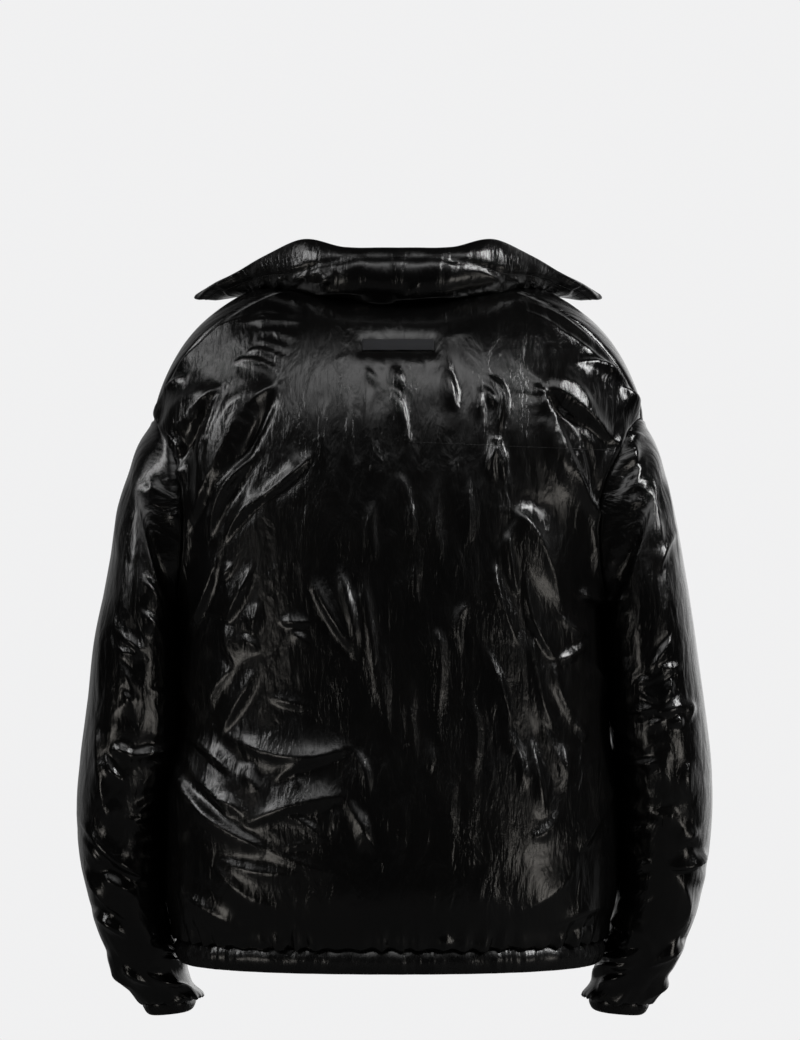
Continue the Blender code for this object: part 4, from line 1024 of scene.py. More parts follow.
class Tree:
    """A tree of shader nodes, with short ways to add the kinds that are used here."""

    def __init__(self, tree):
        self.nodes, self.links = tree.nodes, tree.links

    def add(self, kind):
        return self.nodes.new(f"ShaderNode{kind}")

    def noise(self, vector, scale, detail, distortion=0.0):
        """A noise over a vector stretched by scale, so that its grains may be long and narrow."""
        stretch = self.add("Mapping")
        stretch.inputs["Scale"].default_value = scale
        self.links.new(vector, stretch.inputs["Vector"])
        noise = self.add("TexNoise")
        for key, number in (("Scale", 1.0), ("Detail", detail), ("Distortion", distortion)):
            noise.inputs[key].default_value = number
        self.links.new(stretch.outputs["Vector"], noise.inputs["Vector"])
        return noise.outputs["Fac"]

    def ramp(self, value, low, high, from_low=NOISE_LOW, from_high=NOISE_HIGH):
        """The value mapped onto low to high, which may be numbers or colours."""
        if isinstance(low, tuple):
            blend = self.add("ValToRGB")
            for stop, place, colour in zip(blend.color_ramp.elements, (from_low, from_high), (low, high)):
                stop.position = place
                stop.color = (*colour, 1)
            self.links.new(value, blend.inputs["Fac"])
            return blend.outputs["Color"]
        scale = self.add("MapRange")
        sockets = ("From Min", "From Max", "To Min", "To Max")
        for key, number in zip(sockets, (from_low, from_high, low, high)):
            scale.inputs[key].default_value = number
        self.links.new(value, scale.inputs["Value"])
        return scale.outputs["Result"]

    def combine(self, operation, a, b):
        node = self.add("Math")
        node.operation = operation
        for socket, value in zip(node.inputs, (a, b)):
            if isinstance(value, (int, float)):
                socket.default_value = value
            else:
                self.links.new(value, socket)
        return node.outputs[0]

    def multiply(self, a, b):
        return self.combine("MULTIPLY", a, b)

    def bump(self, height, distance, under=None):
        node = self.add("Bump")
        node.inputs["Strength"].default_value = 1.0
        node.inputs["Distance"].default_value = distance
        self.links.new(height, node.inputs["Height"])
        if under is not None:
            self.links.new(under, node.inputs["Normal"])
        return node.outputs["Normal"]

    def cloth_vector(self):
        """Metres across and along the cloth, and how crinkled it is there, from the mesh."""
        source = self.add("Attribute")
        source.attribute_name = "cloth"
        split = self.add("SeparateXYZ")
        self.links.new(source.outputs["Vector"], split.inputs["Vector"])
        join = self.add("CombineXYZ")
        self.links.new(split.outputs["X"], join.inputs["X"])
        self.links.new(split.outputs["Y"], join.inputs["Y"])
        return join.outputs["Vector"], split.outputs["Z"]


def shader_tree(name):
    material = bpy.data.materials.new(name)
    material.use_nodes = True
    tree = Tree(material.node_tree)
    return material, tree, tree.nodes["Principled BSDF"]


def make_nylon():
    """Thin black coated nylon: wet-looking, finely crinkled along the cloth."""
    material, tree, shader = shader_tree("coated_nylon")
    vector, crinkled = tree.cloth_vector()

    def grain(name):
        return tree.noise(vector, *NYLON_GRAINS[name])

    tree.links.new(tree.ramp(grain("tone"), NYLON_DARK, NYLON_LIGHT), shader.inputs["Base Color"])
    worn = tree.ramp(grain("sheen"), *NYLON_ROUGHNESS)
    dulled = tree.multiply(crinkled, NYLON_DULLED)
    tree.links.new(tree.combine("ADD", worn, dulled), shader.inputs["Roughness"])
    shader.inputs["Specular IOR Level"].default_value = NYLON_SPECULAR
    shader.inputs["Coat Weight"].default_value = NYLON_COAT
    shader.inputs["Coat Roughness"].default_value = NYLON_COAT_ROUGHNESS
    strength = tree.multiply(crinkled, tree.ramp(grain("patches"), *NYLON_PATCHES))
    long, short, slack, weave = (grain(name) for name in ("long", "short", "slack", "weave"))
    normal = tree.bump(slack, NYLON_RISES["slack"])
    normal = tree.bump(tree.multiply(long, strength), NYLON_RISES["long"], normal)
    normal = tree.bump(tree.multiply(short, strength), NYLON_RISES["short"], normal)
    normal = tree.bump(weave, NYLON_RISES["weave"], normal)
    tree.links.new(normal, shader.inputs["Normal"])
    return material


def make_binding():
    """The narrow casings round the elastic, in the same nylon, a little duller."""
    material, tree, shader = shader_tree("elastic_binding")
    vector, _ = tree.cloth_vector()
    tone = tree.noise(vector, *BINDING_TONE)
    tree.links.new(tree.ramp(tone, BINDING_DARK, BINDING_LIGHT), shader.inputs["Base Color"])
    grain = tree.noise(vector, *BINDING_GRAIN)
    tree.links.new(tree.ramp(grain, *BINDING_ROUGHNESS), shader.inputs["Roughness"])
    shader.inputs["Coat Weight"].default_value = BINDING_COAT
    shader.inputs["Coat Roughness"].default_value = BINDING_COAT_ROUGHNESS
    tree.links.new(tree.bump(grain, BINDING_RISE), shader.inputs["Normal"])
    return material


def make_woven(name, low, high, roughness, pitch):
    """A woven band: warp and weft waves at this pitch in metres; its colour is lighter on the threads'
    crowns and darker in the hollows between them, which is painted shade, over noise for wear.
    """
    material, tree, shader = shader_tree(name)
    vector, _ = tree.cloth_vector()
    heights = []
    for direction in ("X", "Y"):
        wave = tree.add("TexWave")
        wave.bands_direction = direction
        wave.inputs["Scale"].default_value = ONE_BAND / pitch
        wave.inputs["Distortion"].default_value = WEAVE_WAVER
        tree.links.new(vector, wave.inputs["Vector"])
        heights.append(wave.outputs["Fac"])
    weave = tree.multiply(heights[0], heights[1])
    worn = tree.noise(vector, *WOVEN_WEAR)
    # Painted shade: the colour is lighter where the weave stands high and darker in the hollows between
    # threads, plus noise for wear.
    painted_shade_and_wear = tree.combine("ADD", tree.multiply(weave, WEAVE_PAINTED_SHADE), worn)
    tree.links.new(tree.ramp(painted_shade_and_wear, low, high, NOISE_LOW, 1.0), shader.inputs["Base Color"])
    spread = (roughness + change for change in WOVEN_SPREAD)
    tree.links.new(tree.ramp(worn, *spread), shader.inputs["Roughness"])
    tree.links.new(tree.bump(weave, WOVEN_RISE), shader.inputs["Normal"])
    return material


def make_hard(name, low, high, roughness, metallic):
    """Moulded or plated zip parts, with fine scratches and rubbed patches."""
    material, tree, shader = shader_tree(name)
    place = tree.add("TexCoord").outputs["Object"]
    worn = tree.noise(place, *HARD_WEAR)
    scratch = tree.noise(place, *HARD_SCRATCHES)
    tree.links.new(tree.ramp(worn, low, high), shader.inputs["Base Color"])
    spread = (roughness + change for change in HARD_SPREAD)
    tree.links.new(tree.ramp(scratch, *spread), shader.inputs["Roughness"])
    shader.inputs["Metallic"].default_value = metallic
    tree.links.new(tree.bump(scratch, HARD_RISE), shader.inputs["Normal"])
    return material


# key: name, dark, light, roughness, metres from thread to thread
WOVEN = {
    "tape": ("zip_tape", (0.004, 0.004, 0.004), (0.012, 0.012, 0.012), 0.7, 0.0008),
    "label": ("label_weave", (0.010, 0.010, 0.012), (0.024, 0.025, 0.029), 0.80, 0.0006),
    "thread": ("sewing_thread", (0.004, 0.004, 0.004), (0.02, 0.02, 0.02), 0.5, 0.0005),
}
# key: name, dark, light, roughness, how metallic
HARD = {
    "teeth": ("zip_teeth", (0.008, 0.008, 0.008), (0.018, 0.018, 0.018), 0.42, 0.0),
    "metal": ("zip_metal", (0.030, 0.030, 0.032), (0.060, 0.060, 0.062), 0.30, 1.0),
}


def make_materials():
    made = {"nylon": make_nylon(), "binding": make_binding()}
    made.update((key, make_woven(*looks)) for key, looks in WOVEN.items())
    made.update((key, make_hard(*looks)) for key, looks in HARD.items())
    return made


# ---- Meshes ----


def add_piece(name, points, faces, material, cloth=None, node=None):
    """A closed mesh that rides on the jacket, may stand for a solid and carries the cloth's measures."""
    name = f"{name}_cloth" if name == node else name
    mesh = bpy.data.meshes.new(name)
    points = np.asarray(points, float).reshape(-1, 3)
    mesh.from_pydata(points.tolist(), [], faces)
    shape = bmesh.new()
    shape.from_mesh(mesh)
    bmesh.ops.recalc_face_normals(shape, faces=shape.faces)
    shape.to_mesh(mesh)
    shape.free()
    measures = np.zeros(points.shape) if cloth is None else cloth
    mesh.attributes.new("cloth", "FLOAT_VECTOR", "POINT")
    mesh.attributes["cloth"].data.foreach_set("vector", np.asarray(measures, np.float32).ravel())
    mesh.materials.append(material)
    mesh.shade_smooth()
    item = bpy.data.objects.new(name, mesh)
    bpy.context.scene.collection.objects.link(item)
    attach(item, "jacket")
    if node:
        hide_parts(node)
    return item


def numbered(shape, closed=False):
    """The numbers of a grid's points. A closed grid has its first column again at the end."""
    index = np.arange(shape[0] * shape[1]).reshape(shape[:2])
    return np.hstack([index, index[:, :1]]) if closed else index


def quads(index):
    a, b, c, d = index[:-1, :-1], index[:-1, 1:], index[1:, 1:], index[1:, :-1]
    return np.stack([a, b, c, d], axis=-1).reshape(-1, 4).tolist()


def rim(fine, coarse):
    """Faces between a fine edge and a coarse one with a point at every INNER_STRIDE of it."""
    faces = []
    for k in range(len(coarse) - 1):
        edge = fine[k * INNER_STRIDE : (k + 1) * INNER_STRIDE + 1]
        faces.append([int(i) for i in (*edge, coarse[k + 1], coarse[k])])
    return faces


def wall_piece(name, outer, inner, closed, cloth, material):
    """A padded wall between a fine outer grid and a coarse inner one."""
    outside = numbered(outer.shape, closed)
    inside = numbered(inner.shape, closed) + outer.shape[0] * outer.shape[1]
    faces = quads(outside) + quads(inside) + rim(outside[0], inside[0]) + rim(outside[-1], inside[-1])
    if not closed:
        faces += rim(outside[:, 0], inside[:, 0]) + rim(outside[:, -1], inside[:, -1])
    coarse = cloth[::INNER_STRIDE, ::INNER_STRIDE]
    points, measures = (
        np.concatenate([fine.reshape(-1, 3), wide.reshape(-1, 3)])
        for fine, wide in ((outer, inner), (cloth, coarse))
    )
    add_piece(name, points, faces, material, measures, name)


def near_edges(shape, reach, start=False, end=False, left=False, right=False):
    """1 at these edges of a piece, falling to 0 so many rows or columns away."""
    rows, columns = np.arange(shape[0])[:, None], np.arange(shape[1])[None]
    away = np.full(shape, math.inf)
    for wanted, steps in ((start, rows), (end, rows[::-1]), (left, columns), (right, columns[:, ::-1])):
        if wanted:
            away = np.minimum(away, steps)
    return 1 - smoothstep(0, reach, away)


# ---- Body pieces ----

PIN_REACH = 5.0
GATHERED_PIN_REACH = 2.0
SEAM_SINK = 0.0015
CALM_DEPTH = 0.030
CALM_FADE = 0.045
HEM_GATHER_REACH = 0.055
BODY_STROKE_LIFT = 1.15
UPPER_FOLDS = 0.85
UPPER_MIDDLE_CALM = 0.40
UPPER_FOLD_LEVELS = (-280, -200)
LOWER_CALM = 0.25
YOKE_CALM = 1.30
YOKE_CALM_LEVELS = (-75, -45)
ARMHOLE_PUFF = 0.005
BREAK_REACH = 22
BREAK_ROUNDS = 160
HEM_PUCKER = 0.0030
HEM_PUCKER_PITCH = 0.021
# Out and down, row by row from the seam
HEM_LIP = (
    (0, 0), (0.0021, 0.0048), (0.0028, 0.0042), (0.0024, 0.0028), (0.0015, 0.0014), (0.0006, 0.0005),
)
CUFF_LIP = (
    (0.0002, 0), (0.0020, 0.0066), (0.0023, 0.0068), (0.0020, 0.0056), (0.0015, 0.0040),
    (0.0009, 0.0024), (0.0004, 0.0010),
)
# In columns from the seam
ARMHOLE_PUFF_PLACE = 9
ARMHOLE_PUFF_REACH = 6.0
HEM_FULL_REACH = 7
SEAM_REACH = 2.5
# Levels in metres between which something sets in or fades out
ARMHOLE_PUFF_START = (UNDERARM - 0.02, UNDERARM + 0.05)
ARMHOLE_PUFF_END = (-0.16, -0.13)
EASE_START = (-0.60, -0.50)
EASE_END = (-0.115, -0.075)
# Millimetres from the middle, and millimetres of level
SIDES = (70, 120)
LOWER_LEVELS = (-420, -350)
# How squarely the cloth faces its neighbour where both swell
SWELL_FACING = (0.5, 0.9)
# How free the cloth is at the sides, and what is added away from them
FREE_AT_SIDES = (0.25, 0.75)
HEM_PUCKER_PLACE = 0.008
HEM_PUCKER_REACH = 0.012
HEM_PATCH_PITCH = 0.09
HEM_PATCH_EDGES = (-0.5, 0.8)
HEM_FULL_EDGES = (-0.8, 0.8)
HEM_FULL = (0.35, 0.65)
HEM_FULL_PATCH = (0.4, 0.6)
# Shares of length added to the cloth
HEM_EASE = 0.070
BODY_LENGTH_EASE = 0.016
BODY_NOISE = 0.0012
BODY_NOISE_SPACING = (12, 5)
# Columns from a piece's side over which the easing of a break sets in
BREAK_SIDES = (2, 22)
BREAK_PULL = 0.9
# Metres from the label over which creases set in
LABEL_FLAT = (0.001, 0.028)
# How strongly crinkled: least, added, levels where it sets in and fades out
BACK_CRINKLE = (0.16, 0.84, (-0.66, -0.52), (-0.100, -0.060))
FRONT_CRINKLE = (0.16, 0.60, (-0.66, -0.52), (-0.16, -0.09))
BACK_SIDES_SMOOTH = 0.7
BACK_SIDES = (0.15, 0.22)
WAIST_PUFF = 0.0060
WAIST_LEVEL = -0.495
WAIST_REACH = 0.060


def pins(shape, sides, gathered_first):
    """1 where the cloth is free, 0 along its seams, and free sooner beside a gathered first or last row."""
    seamed = near_edges(shape, PIN_REACH, not gathered_first, gathered_first, sides, sides)
    return (1 - seamed) * (1 - near_edges(shape, GATHERED_PIN_REACH, gathered_first, not gathered_first))


def around_label(points):
    """0 under the label, where the cloth lies flat, and 1 away from it."""
    level = LABEL_TOP - LABEL_SIZE[1] / 2
    across = np.maximum(np.abs(points[..., 0]) - LABEL_SIZE[0] / 2, 0)
    up = np.maximum(np.abs(points[..., 2] - level) - LABEL_SIZE[1] / 2, 0)
    away = np.where(points[..., 1] > 0, np.hypot(across, up), 1)
    return smoothstep(*LABEL_FLAT, away)


def waist_puff(level):
    """How far body and left sleeve swell towards each other at the waist, where they nearly touch."""
    return WAIST_PUFF * bell(level, WAIST_LEVEL, WAIST_REACH)


def calm_at_sides(points):
    return smoothstep(0, CALM_FADE, np.abs(points[..., 1]) - CALM_DEPTH)


def body_piece(grid, strokes, crinkle, ease_share, seams, rng):
    """A back or front: its creases, its settled wrinkles and the gathers over the hem."""
    normals = grid_normals(grid, False)
    swell = waist_puff(grid[..., 2]) * smoothstep(*SWELL_FACING, normals[..., 0])
    grid = grid + normals * swell[..., None]
    around, along = (unit(a) for a in grid_slopes(grid, False))
    level = grid[..., 2]
    calm = calm_at_sides(grid)
    free = pins(level.shape, True, True) * (FREE_AT_SIDES[0] + FREE_AT_SIDES[1] * calm) * around_label(grid)
    u, v = picture_plane(grid * (1, np.sign(grid[..., 1].mean()), 1))
    lift = BODY_STROKE_LIFT - YOKE_CALM * smoothstep(*YOKE_CALM_LEVELS, v)
    at_sides = smoothstep(*SIDES, np.abs(u))
    upper = UPPER_FOLDS * at_sides - UPPER_MIDDLE_CALM * (1 - at_sides)
    lift = lift + upper * smoothstep(*UPPER_FOLD_LEVELS, v)
    lift = lift - LOWER_CALM * (1 - smoothstep(*LOWER_LEVELS, v))
    raised = lift * relief(u, v, strokes) * calm
    columns = np.arange(level.shape[1])
    from_seam = np.minimum(columns, columns[::-1])[None]
    raised += ARMHOLE_PUFF * bell(from_seam, ARMHOLE_PUFF_PLACE, ARMHOLE_PUFF_REACH) * (
        smoothstep(*ARMHOLE_PUFF_START, level) * (1 - smoothstep(*ARMHOLE_PUFF_END, level))
    )
    above_hem = 1 - smoothstep(0, HEM_GATHER_REACH, level - HEM_SEAM)
    run, rise = cloth_run(grid)
    pucker = gathers(run[0] - run[0, 0], HEM_PUCKER_PITCH, rng, False)
    patch = smoothstep(*HEM_PATCH_EDGES, gathers(run[0] - run[0, 0], HEM_PATCH_PITCH, rng, False))
    raised += HEM_PUCKER * (pucker * patch)[None] * (
        bell(level - HEM_SEAM, HEM_PUCKER_PLACE, HEM_PUCKER_REACH)
    )
    middle = smoothstep(*EASE_START, level) * (1 - smoothstep(*EASE_END, level))
    across = ease_share * middle * calm + HEM_EASE * above_hem
    upward = np.full(level.shape, BODY_LENGTH_EASE)
    noise = soft_noise(level.shape, BODY_NOISE_SPACING, False, rng) * BODY_NOISE
    settled = settle(grid, raised, normals, ((around, across), (along, upward)), free, False, noise)
    seam = near_edges(level.shape, SEAM_REACH, left=seams[0], right=seams[1])
    settled = settled - normals * (SEAM_SINK * seam)[..., None]
    drawn = smoothstep(*HEM_FULL_EDGES, pucker * (HEM_FULL_PATCH[0] + HEM_FULL_PATCH[1] * patch))
    full = (HEM_FULL[0] + HEM_FULL[1] * drawn) * smoothstep(0, HEM_FULL_REACH, from_seam[0])
    down = np.broadcast_to((0.0, 0.0, -1.0), settled[0].shape)
    settled = blouse_over(settled, normals, down, HEM_LIP, full)
    cloth = np.stack([run, rise, crinkle(grid)], axis=-1)
    inner = (grid - normals * BODY_WALL)[::INNER_STRIDE, ::INNER_STRIDE]
    return settled, inner, cloth


def blouse_over(points, normals, down, lip, amount):
    """Roll the first rows out and down, so that the cloth hangs over the casing that gathers it."""
    points = points.copy()
    for row, (out, drop) in enumerate(lip):
        points[row] += (normals[row] * out + down * drop) * amount[:, None]
    return points


def back_crinkle(grid):
    """Fine crinkles over the middle of the back, fading on the smooth shoulders and near the hem."""
    least, added, above, below = BACK_CRINKLE
    level, across = grid[..., 2], np.abs(grid[..., 0])
    strength = smoothstep(*above, level) * (1 - smoothstep(*below, level))
    return least + added * strength * (1 - BACK_SIDES_SMOOTH * smoothstep(*BACK_SIDES, across))


def front_crinkle(grid):
    least, added, above, below = FRONT_CRINKLE
    level = grid[..., 2]
    return least + added * smoothstep(*above, level) * (1 - smoothstep(*below, level))


def ease_break(grid, row):
    """The same surface with the change of slope at this row spread out, except beside the piece's sides."""
    rows, columns = np.arange(grid.shape[0])[:, None], np.arange(grid.shape[1])[None]
    share = bell(rows, row, BREAK_REACH)
    share = share * smoothstep(*BREAK_SIDES, np.minimum(columns, columns[:, ::-1]))
    for _ in range(BREAK_ROUNDS):
        pull = (grid[:-2] + grid[2:]) / 2 - grid[1:-1]
        grid[1:-1] += BREAK_PULL * pull * share[1:-1, :, None]
    return grid


def make_body(materials, rng):
    stations = body_stations()
    side = side_line(stations)
    left_edge, right_edge = (front_edge_angle(stations, s) for s in (1, -1))
    grids = {
        "back": body_grid(side, math.pi - side, BACK_COLUMNS, BACK_SOLID_COLUMNS, (1, -1), 1),
        "front_left": body_grid(left_edge, side, FRONT_COLUMNS, FRONT_SOLID_COLUMNS, (0, 1), -1),
        "front_right": body_grid(
            math.pi - side, right_edge, FRONT_COLUMNS, FRONT_SOLID_COLUMNS, (-1, 0), -1
        ),
    }
    # creases, fine crinkles, share of width added, whether it has a seam at its first and last column
    looks = {
        "back": (BACK_STROKES, back_crinkle, 0.030, (True, True)),
        "front_left": (FRONT_STROKES, front_crinkle, 0.040, (False, True)),
        "front_right": (FRONT_STROKES, front_crinkle, 0.040, (True, False)),
    }
    built = {}
    for name, grid in grids.items():
        for row in (HEM_TO_UNDERARM_ROWS, HEM_TO_UNDERARM_ROWS + ARMHOLE_ROWS):
            grid = ease_break(grid, row)
        outer, inner, cloth = body_piece(grid, *looks[name], rng)
        wall_piece(name, outer, inner, False, cloth, materials["nylon"])
        built[name] = (grid, outer, grid_normals(grid, False))
    return built


# ---- Sleeve pieces ----

SLEEVE_STROKE_LIFT = 1.2
LOWER_SLEEVE_FOLDS = 0.6
CUFF_BLOUSE = 0.007
CUFF_BLOUSE_PLACE = 0.890
CUFF_BLOUSE_REACH = 0.055
CUFF_PUCKER_PITCH = 0.010
# How far the cloth faces the camera, or away from it, where each set of creases sets in
FACING = (-0.10, 0.25)
HIDDEN = (0.0, 0.30)
INNER_FACING = (0.1, 0.9)
OUTER_FACING = (0.5, 0.9)
HELD_FACING = (0.55, 0.95)
# Shares of the way from armhole to cuff
LOWER_SLEEVE = (0.62, 0.75)
HELD_UNTIL = (0.80, 0.9)
NEAR_CUFF = (0.86, 1.0)
NEAR_SEAM = (0.0, 0.06)
INNER_SLEEVE = (0.15, 0.45)
STRIP_START = (0.05, 0.3)
STRIP_END = (0.6, 0.8)
HELD_BY_BODY = 0.85
# Shares of length added along the sleeve, and on its inner side; round it, near the cuff and the seam
LENGTH_EASE = (0.040, 0.040)
ROUND_EASE = (0.015, 0.075, 0.015)
SLEEVE_NOISE = 0.0016
SLEEVE_NOISE_SPACING = (7, 7)
CUFF_FULL = (0.80, 0.20)
CUFF_SLOPE_ROWS = 4
LEAST_CRINKLE = 0.10
STRIP_CRINKLE = {1: 0.06, -1: 0.40}


def make_sleeve(side, materials, rng):
    name = "sleeve_left" if side > 0 else "sleeve_right"
    grid = sleeve_grid(side)
    normals = grid_normals(grid, True)
    centre = grid.mean(axis=1, keepdims=True)
    outward = np.sign(((grid - centre) * normals).sum())
    normals = normals * outward
    if side > 0:
        swell = waist_puff(grid[..., 2]) * smoothstep(*SWELL_FACING, -normals[..., 0])
        grid = grid + normals * swell[..., None]
    around, along = (unit(a) for a in grid_slopes(grid, True))
    u, v = picture_plane(grid)
    seen = LEFT_SLEEVE_STROKES if side > 0 else RIGHT_SLEEVE_STROKES
    unseen = LEFT_SLEEVE_FRONT_STROKES if side > 0 else RIGHT_SLEEVE_FRONT_STROKES
    facing = smoothstep(*FACING, normals[..., 1])
    hidden = smoothstep(*HIDDEN, -normals[..., 1])
    rows = np.linspace(0, 1, grid.shape[0])[:, None]
    lift = SLEEVE_STROKE_LIFT + LOWER_SLEEVE_FOLDS * smoothstep(*LOWER_SLEEVE, rows)
    raised = lift * relief(u, v, seen) * facing
    raised += lift * relief(u, v, unseen) * hidden
    inner_side = smoothstep(*INNER_FACING, -normals[..., 0] * side)
    raised += CUFF_BLOUSE * inner_side * bell(rows, CUFF_BLOUSE_PLACE, CUFF_BLOUSE_REACH)
    free = pins(grid.shape[:2], False, False)
    held = smoothstep(*HELD_FACING, -normals[..., 0] * side)
    body_side = 1 - HELD_BY_BODY * held * (1 - smoothstep(*HELD_UNTIL, rows))
    near_cuff = smoothstep(*NEAR_CUFF, rows) * np.ones(free.shape)
    near_seam = (1 - smoothstep(*NEAR_SEAM, rows)) * np.ones(free.shape)
    lengthwise = LENGTH_EASE[0] + LENGTH_EASE[1] * smoothstep(*INNER_SLEEVE, rows) * inner_side
    crosswise = ROUND_EASE[0] + ROUND_EASE[1] * near_cuff + ROUND_EASE[2] * near_seam
    noise = soft_noise(free.shape, SLEEVE_NOISE_SPACING, True, rng) * SLEEVE_NOISE
    ease = ((along, lengthwise), (around, crosswise))
    settled = settle(grid, raised, normals, ease, free * body_side, True, noise)
    settled = settled - normals * (SEAM_SINK * near_edges(free.shape, SEAM_REACH, True))[..., None]
    run, rise = cloth_run(grid)
    last_run = np.append(run[-1], 2 * run[-1, -1] - run[-1, -2])
    full = CUFF_FULL[0] + CUFF_FULL[1] * gathers(last_run, CUFF_PUCKER_PITCH, rng, True)[:-1]
    down = unit(grid[-1] - grid[-1 - CUFF_SLOPE_ROWS])
    settled = blouse_over(settled[::-1], normals[::-1], down, CUFF_LIP, full)[::-1]
    outer_strip = smoothstep(*OUTER_FACING, normals[..., 0] * side)
    strength = STRIP_CRINKLE[side] * outer_strip * smoothstep(*STRIP_START, rows)
    strength = LEAST_CRINKLE + strength * (1 - smoothstep(*STRIP_END, rows))
    cloth = np.stack([run, rise, strength], axis=-1)
    inner = (grid - normals * SLEEVE_WALL)[::INNER_STRIDE, ::INNER_STRIDE]
    wall_piece(name, settled, inner, True, cloth, materials["nylon"])


# ---- Collar ----

COLLAR_COLUMNS = 216
COLLAR_FACE_ROWS = 32
COLLAR_ROLL_ROWS = 7
COLLAR_ROLL_RISE = 0.0025
# how far from the front, the row of the sewn line
COLLAR_SEAM_ROWS = (
    (0.00, 31.0),
    (0.20, 30.0),
    (0.34, 28.0),
    (0.46, 24.5),
    (0.60, 21.5),
    (0.72, 25.5),
    (0.80, 28.0),
    (1.00, 29.5),
)
COLLAR_SEWN_DEPTH = 0.0016
COLLAR_PLUMP = 0.004
COLLAR_PLUMP_RISE = 0.016
COLLAR_PLUMP_REACH = 0.014
COLLAR_PLUMP_FADE = (0.06, 0.26)
COLLAR_CRINKLE = 0.30
COLLAR_EDGE_CRINKLE = 0.60
COLLAR_END_CRINKLE = 0.55
COLLAR_CRINKLE_ENDS = (0.07, 0.15)
COLLAR_PIN_REACH = 4.0
# Rows from the sewn line
COLLAR_SEWN_REACH = 1.3
COLLAR_SEWN_PUCKERS = 7.0
COLLAR_ROUND_EASE = (0.030, 0.060)
COLLAR_HEIGHT_EASE = 0.035
COLLAR_NOISE = 0.0016
COLLAR_NOISE_SPACING = (7, 11)
COLLAR_ROUNDS = (90, 60)
COLLAR_LIMITS = (-0.006, 0.014)


def collar_surface(body):
    """Fine plain points of the collar's outer face, of the piece all round, and shares along the neck."""
    names = ("front_left", "back", "front_right")
    left, back, right = (body[name][0][-1] for name in names)
    neck = np.concatenate([left, back[1:-1], right])
    neck[0] += unit(neck[1] - neck[0]) * COLLAR_SET_BACK
    neck[-1] += unit(neck[-2] - neck[-1]) * COLLAR_SET_BACK
    run = line_run(neck)
    wanted = np.linspace(0, run[-1], COLLAR_COLUMNS + 1)
    seam = along_path(wanted, run, neck)
    seam[:, 2] += SEAM_GAP
    shares = wanted / run[-1]
    lines = smooth_rows(COLLAR_LINES, 1 - np.abs(2 * shares - 1))
    mirror = np.where(shares <= 0.5, 1, -1)[:, None] * np.array([1, 0, 0]) + (0, 1, 1)
    roll, edge = lines[:3].T * mirror, lines[3:].T * mirror
    heights = np.linspace(0, 1, COLLAR_FACE_ROWS + 1)
    plain = curve_through(seam, roll, edge, heights[:, None, None])
    normals = grid_normals(plain, False)
    outer_face, inner_face = smooth_rows(COLLAR_FACES, heights)
    outside = plain - normals * outer_face[:, None, None]
    inside = plain - normals * inner_face[:, None, None]
    up = unit(plain[-1] - plain[-3])
    steps = np.linspace(0, 1, COLLAR_ROLL_ROWS + 2)[1:-1, None, None]
    top = outside[-1] + (inside[-1] - outside[-1]) * steps
    top = top + up * COLLAR_ROLL_RISE * np.sin(math.pi * steps)
    return outside, np.concatenate([outside, top, inside[::-1]]), shares


def end_faces(ring):
    """Faces that close the end of a folded strip, between the first half of its ring and the second."""
    faces = []
    for k in range(len(ring) // 2):
        corners = [int(i) for i in (ring[k], ring[k + 1], ring[-k - 2], ring[-k - 1])]
        face = [i for n, i in enumerate(corners) if i not in corners[:n]]
        if len(face) > 2:
            faces.append(face)
    return faces


def make_collar(body, materials, rng):
    outside, grid, shares = collar_surface(body)
    normals = grid_normals(grid, False)
    shape = grid.shape[:2]
    around, along = (unit(a) for a in grid_slopes(grid, False))
    across_run, rise = cloth_run(grid)
    raised = relief(-across_run / MM, rise / MM, COLLAR_STROKES)
    raised += COLLAR_PLUMP * bell(rise, COLLAR_PLUMP_RISE, COLLAR_PLUMP_REACH) * (
        1 - smoothstep(*COLLAR_PLUMP_FADE, np.abs(across_run))
    )
    rows = np.arange(shape[0])[:, None]
    sewn_row = smooth_rows(COLLAR_SEAM_ROWS, 1 - np.abs(2 * shares - 1))[0]
    sewn = bell(rows, sewn_row, COLLAR_SEWN_REACH)
    near_sewn = bell(rows, sewn_row, COLLAR_SEWN_PUCKERS)
    free = (1 - near_edges(shape, COLLAR_PIN_REACH, True, True, True, True)) * (1 - sewn)
    noise = soft_noise(shape, COLLAR_NOISE_SPACING, False, rng) * COLLAR_NOISE
    ease = (
        (around, COLLAR_ROUND_EASE[0] + COLLAR_ROUND_EASE[1] * near_sewn),
        (along, np.full(shape, COLLAR_HEIGHT_EASE)),
    )
    settled = settle(grid, raised, normals, ease, free, False, noise, COLLAR_ROUNDS, COLLAR_LIMITS)
    settled = settled - normals * (COLLAR_SEWN_DEPTH * sewn)[..., None]
    to_ends = smoothstep(*COLLAR_CRINKLE_ENDS, np.abs(across_run))
    crinkled = COLLAR_CRINKLE + COLLAR_EDGE_CRINKLE * near_sewn + COLLAR_END_CRINKLE * to_ends
    cloth = np.stack([across_run, rise, crinkled], axis=-1)
    index = numbered(shape)
    faces = quads(index) + quads(np.stack([index[-1], index[0]]))
    faces += end_faces(index[:, 0]) + end_faces(index[:, -1])
    item = add_piece("collar", settled, faces, materials["nylon"], cloth, "collar")
    return outside, grid_normals(outside, False), settled, sewn_row


# ---- Hem band and cuffs ----

BAND_FACE_ROWS = 10
BAND_ROLL_ROWS = 3
BAND_CRINKLE = 0.3
# Metres from pucker to pucker, and from one puckered patch to the next
BAND_BROAD_PITCH = 0.034
BAND_FINE_PITCH = 0.011
BAND_PATCH_PITCH = 0.10
BAND_PATCH_EDGES = (-0.3, 0.9)
# How much the fine puckers count, and how high broad and fine ones stand
BAND_FINE = 1.3
BAND_MIX = 0.6
# Where in a half turn the swell of the face starts, and how much of it the face takes
BAND_SWELL = (0.04, 0.92)
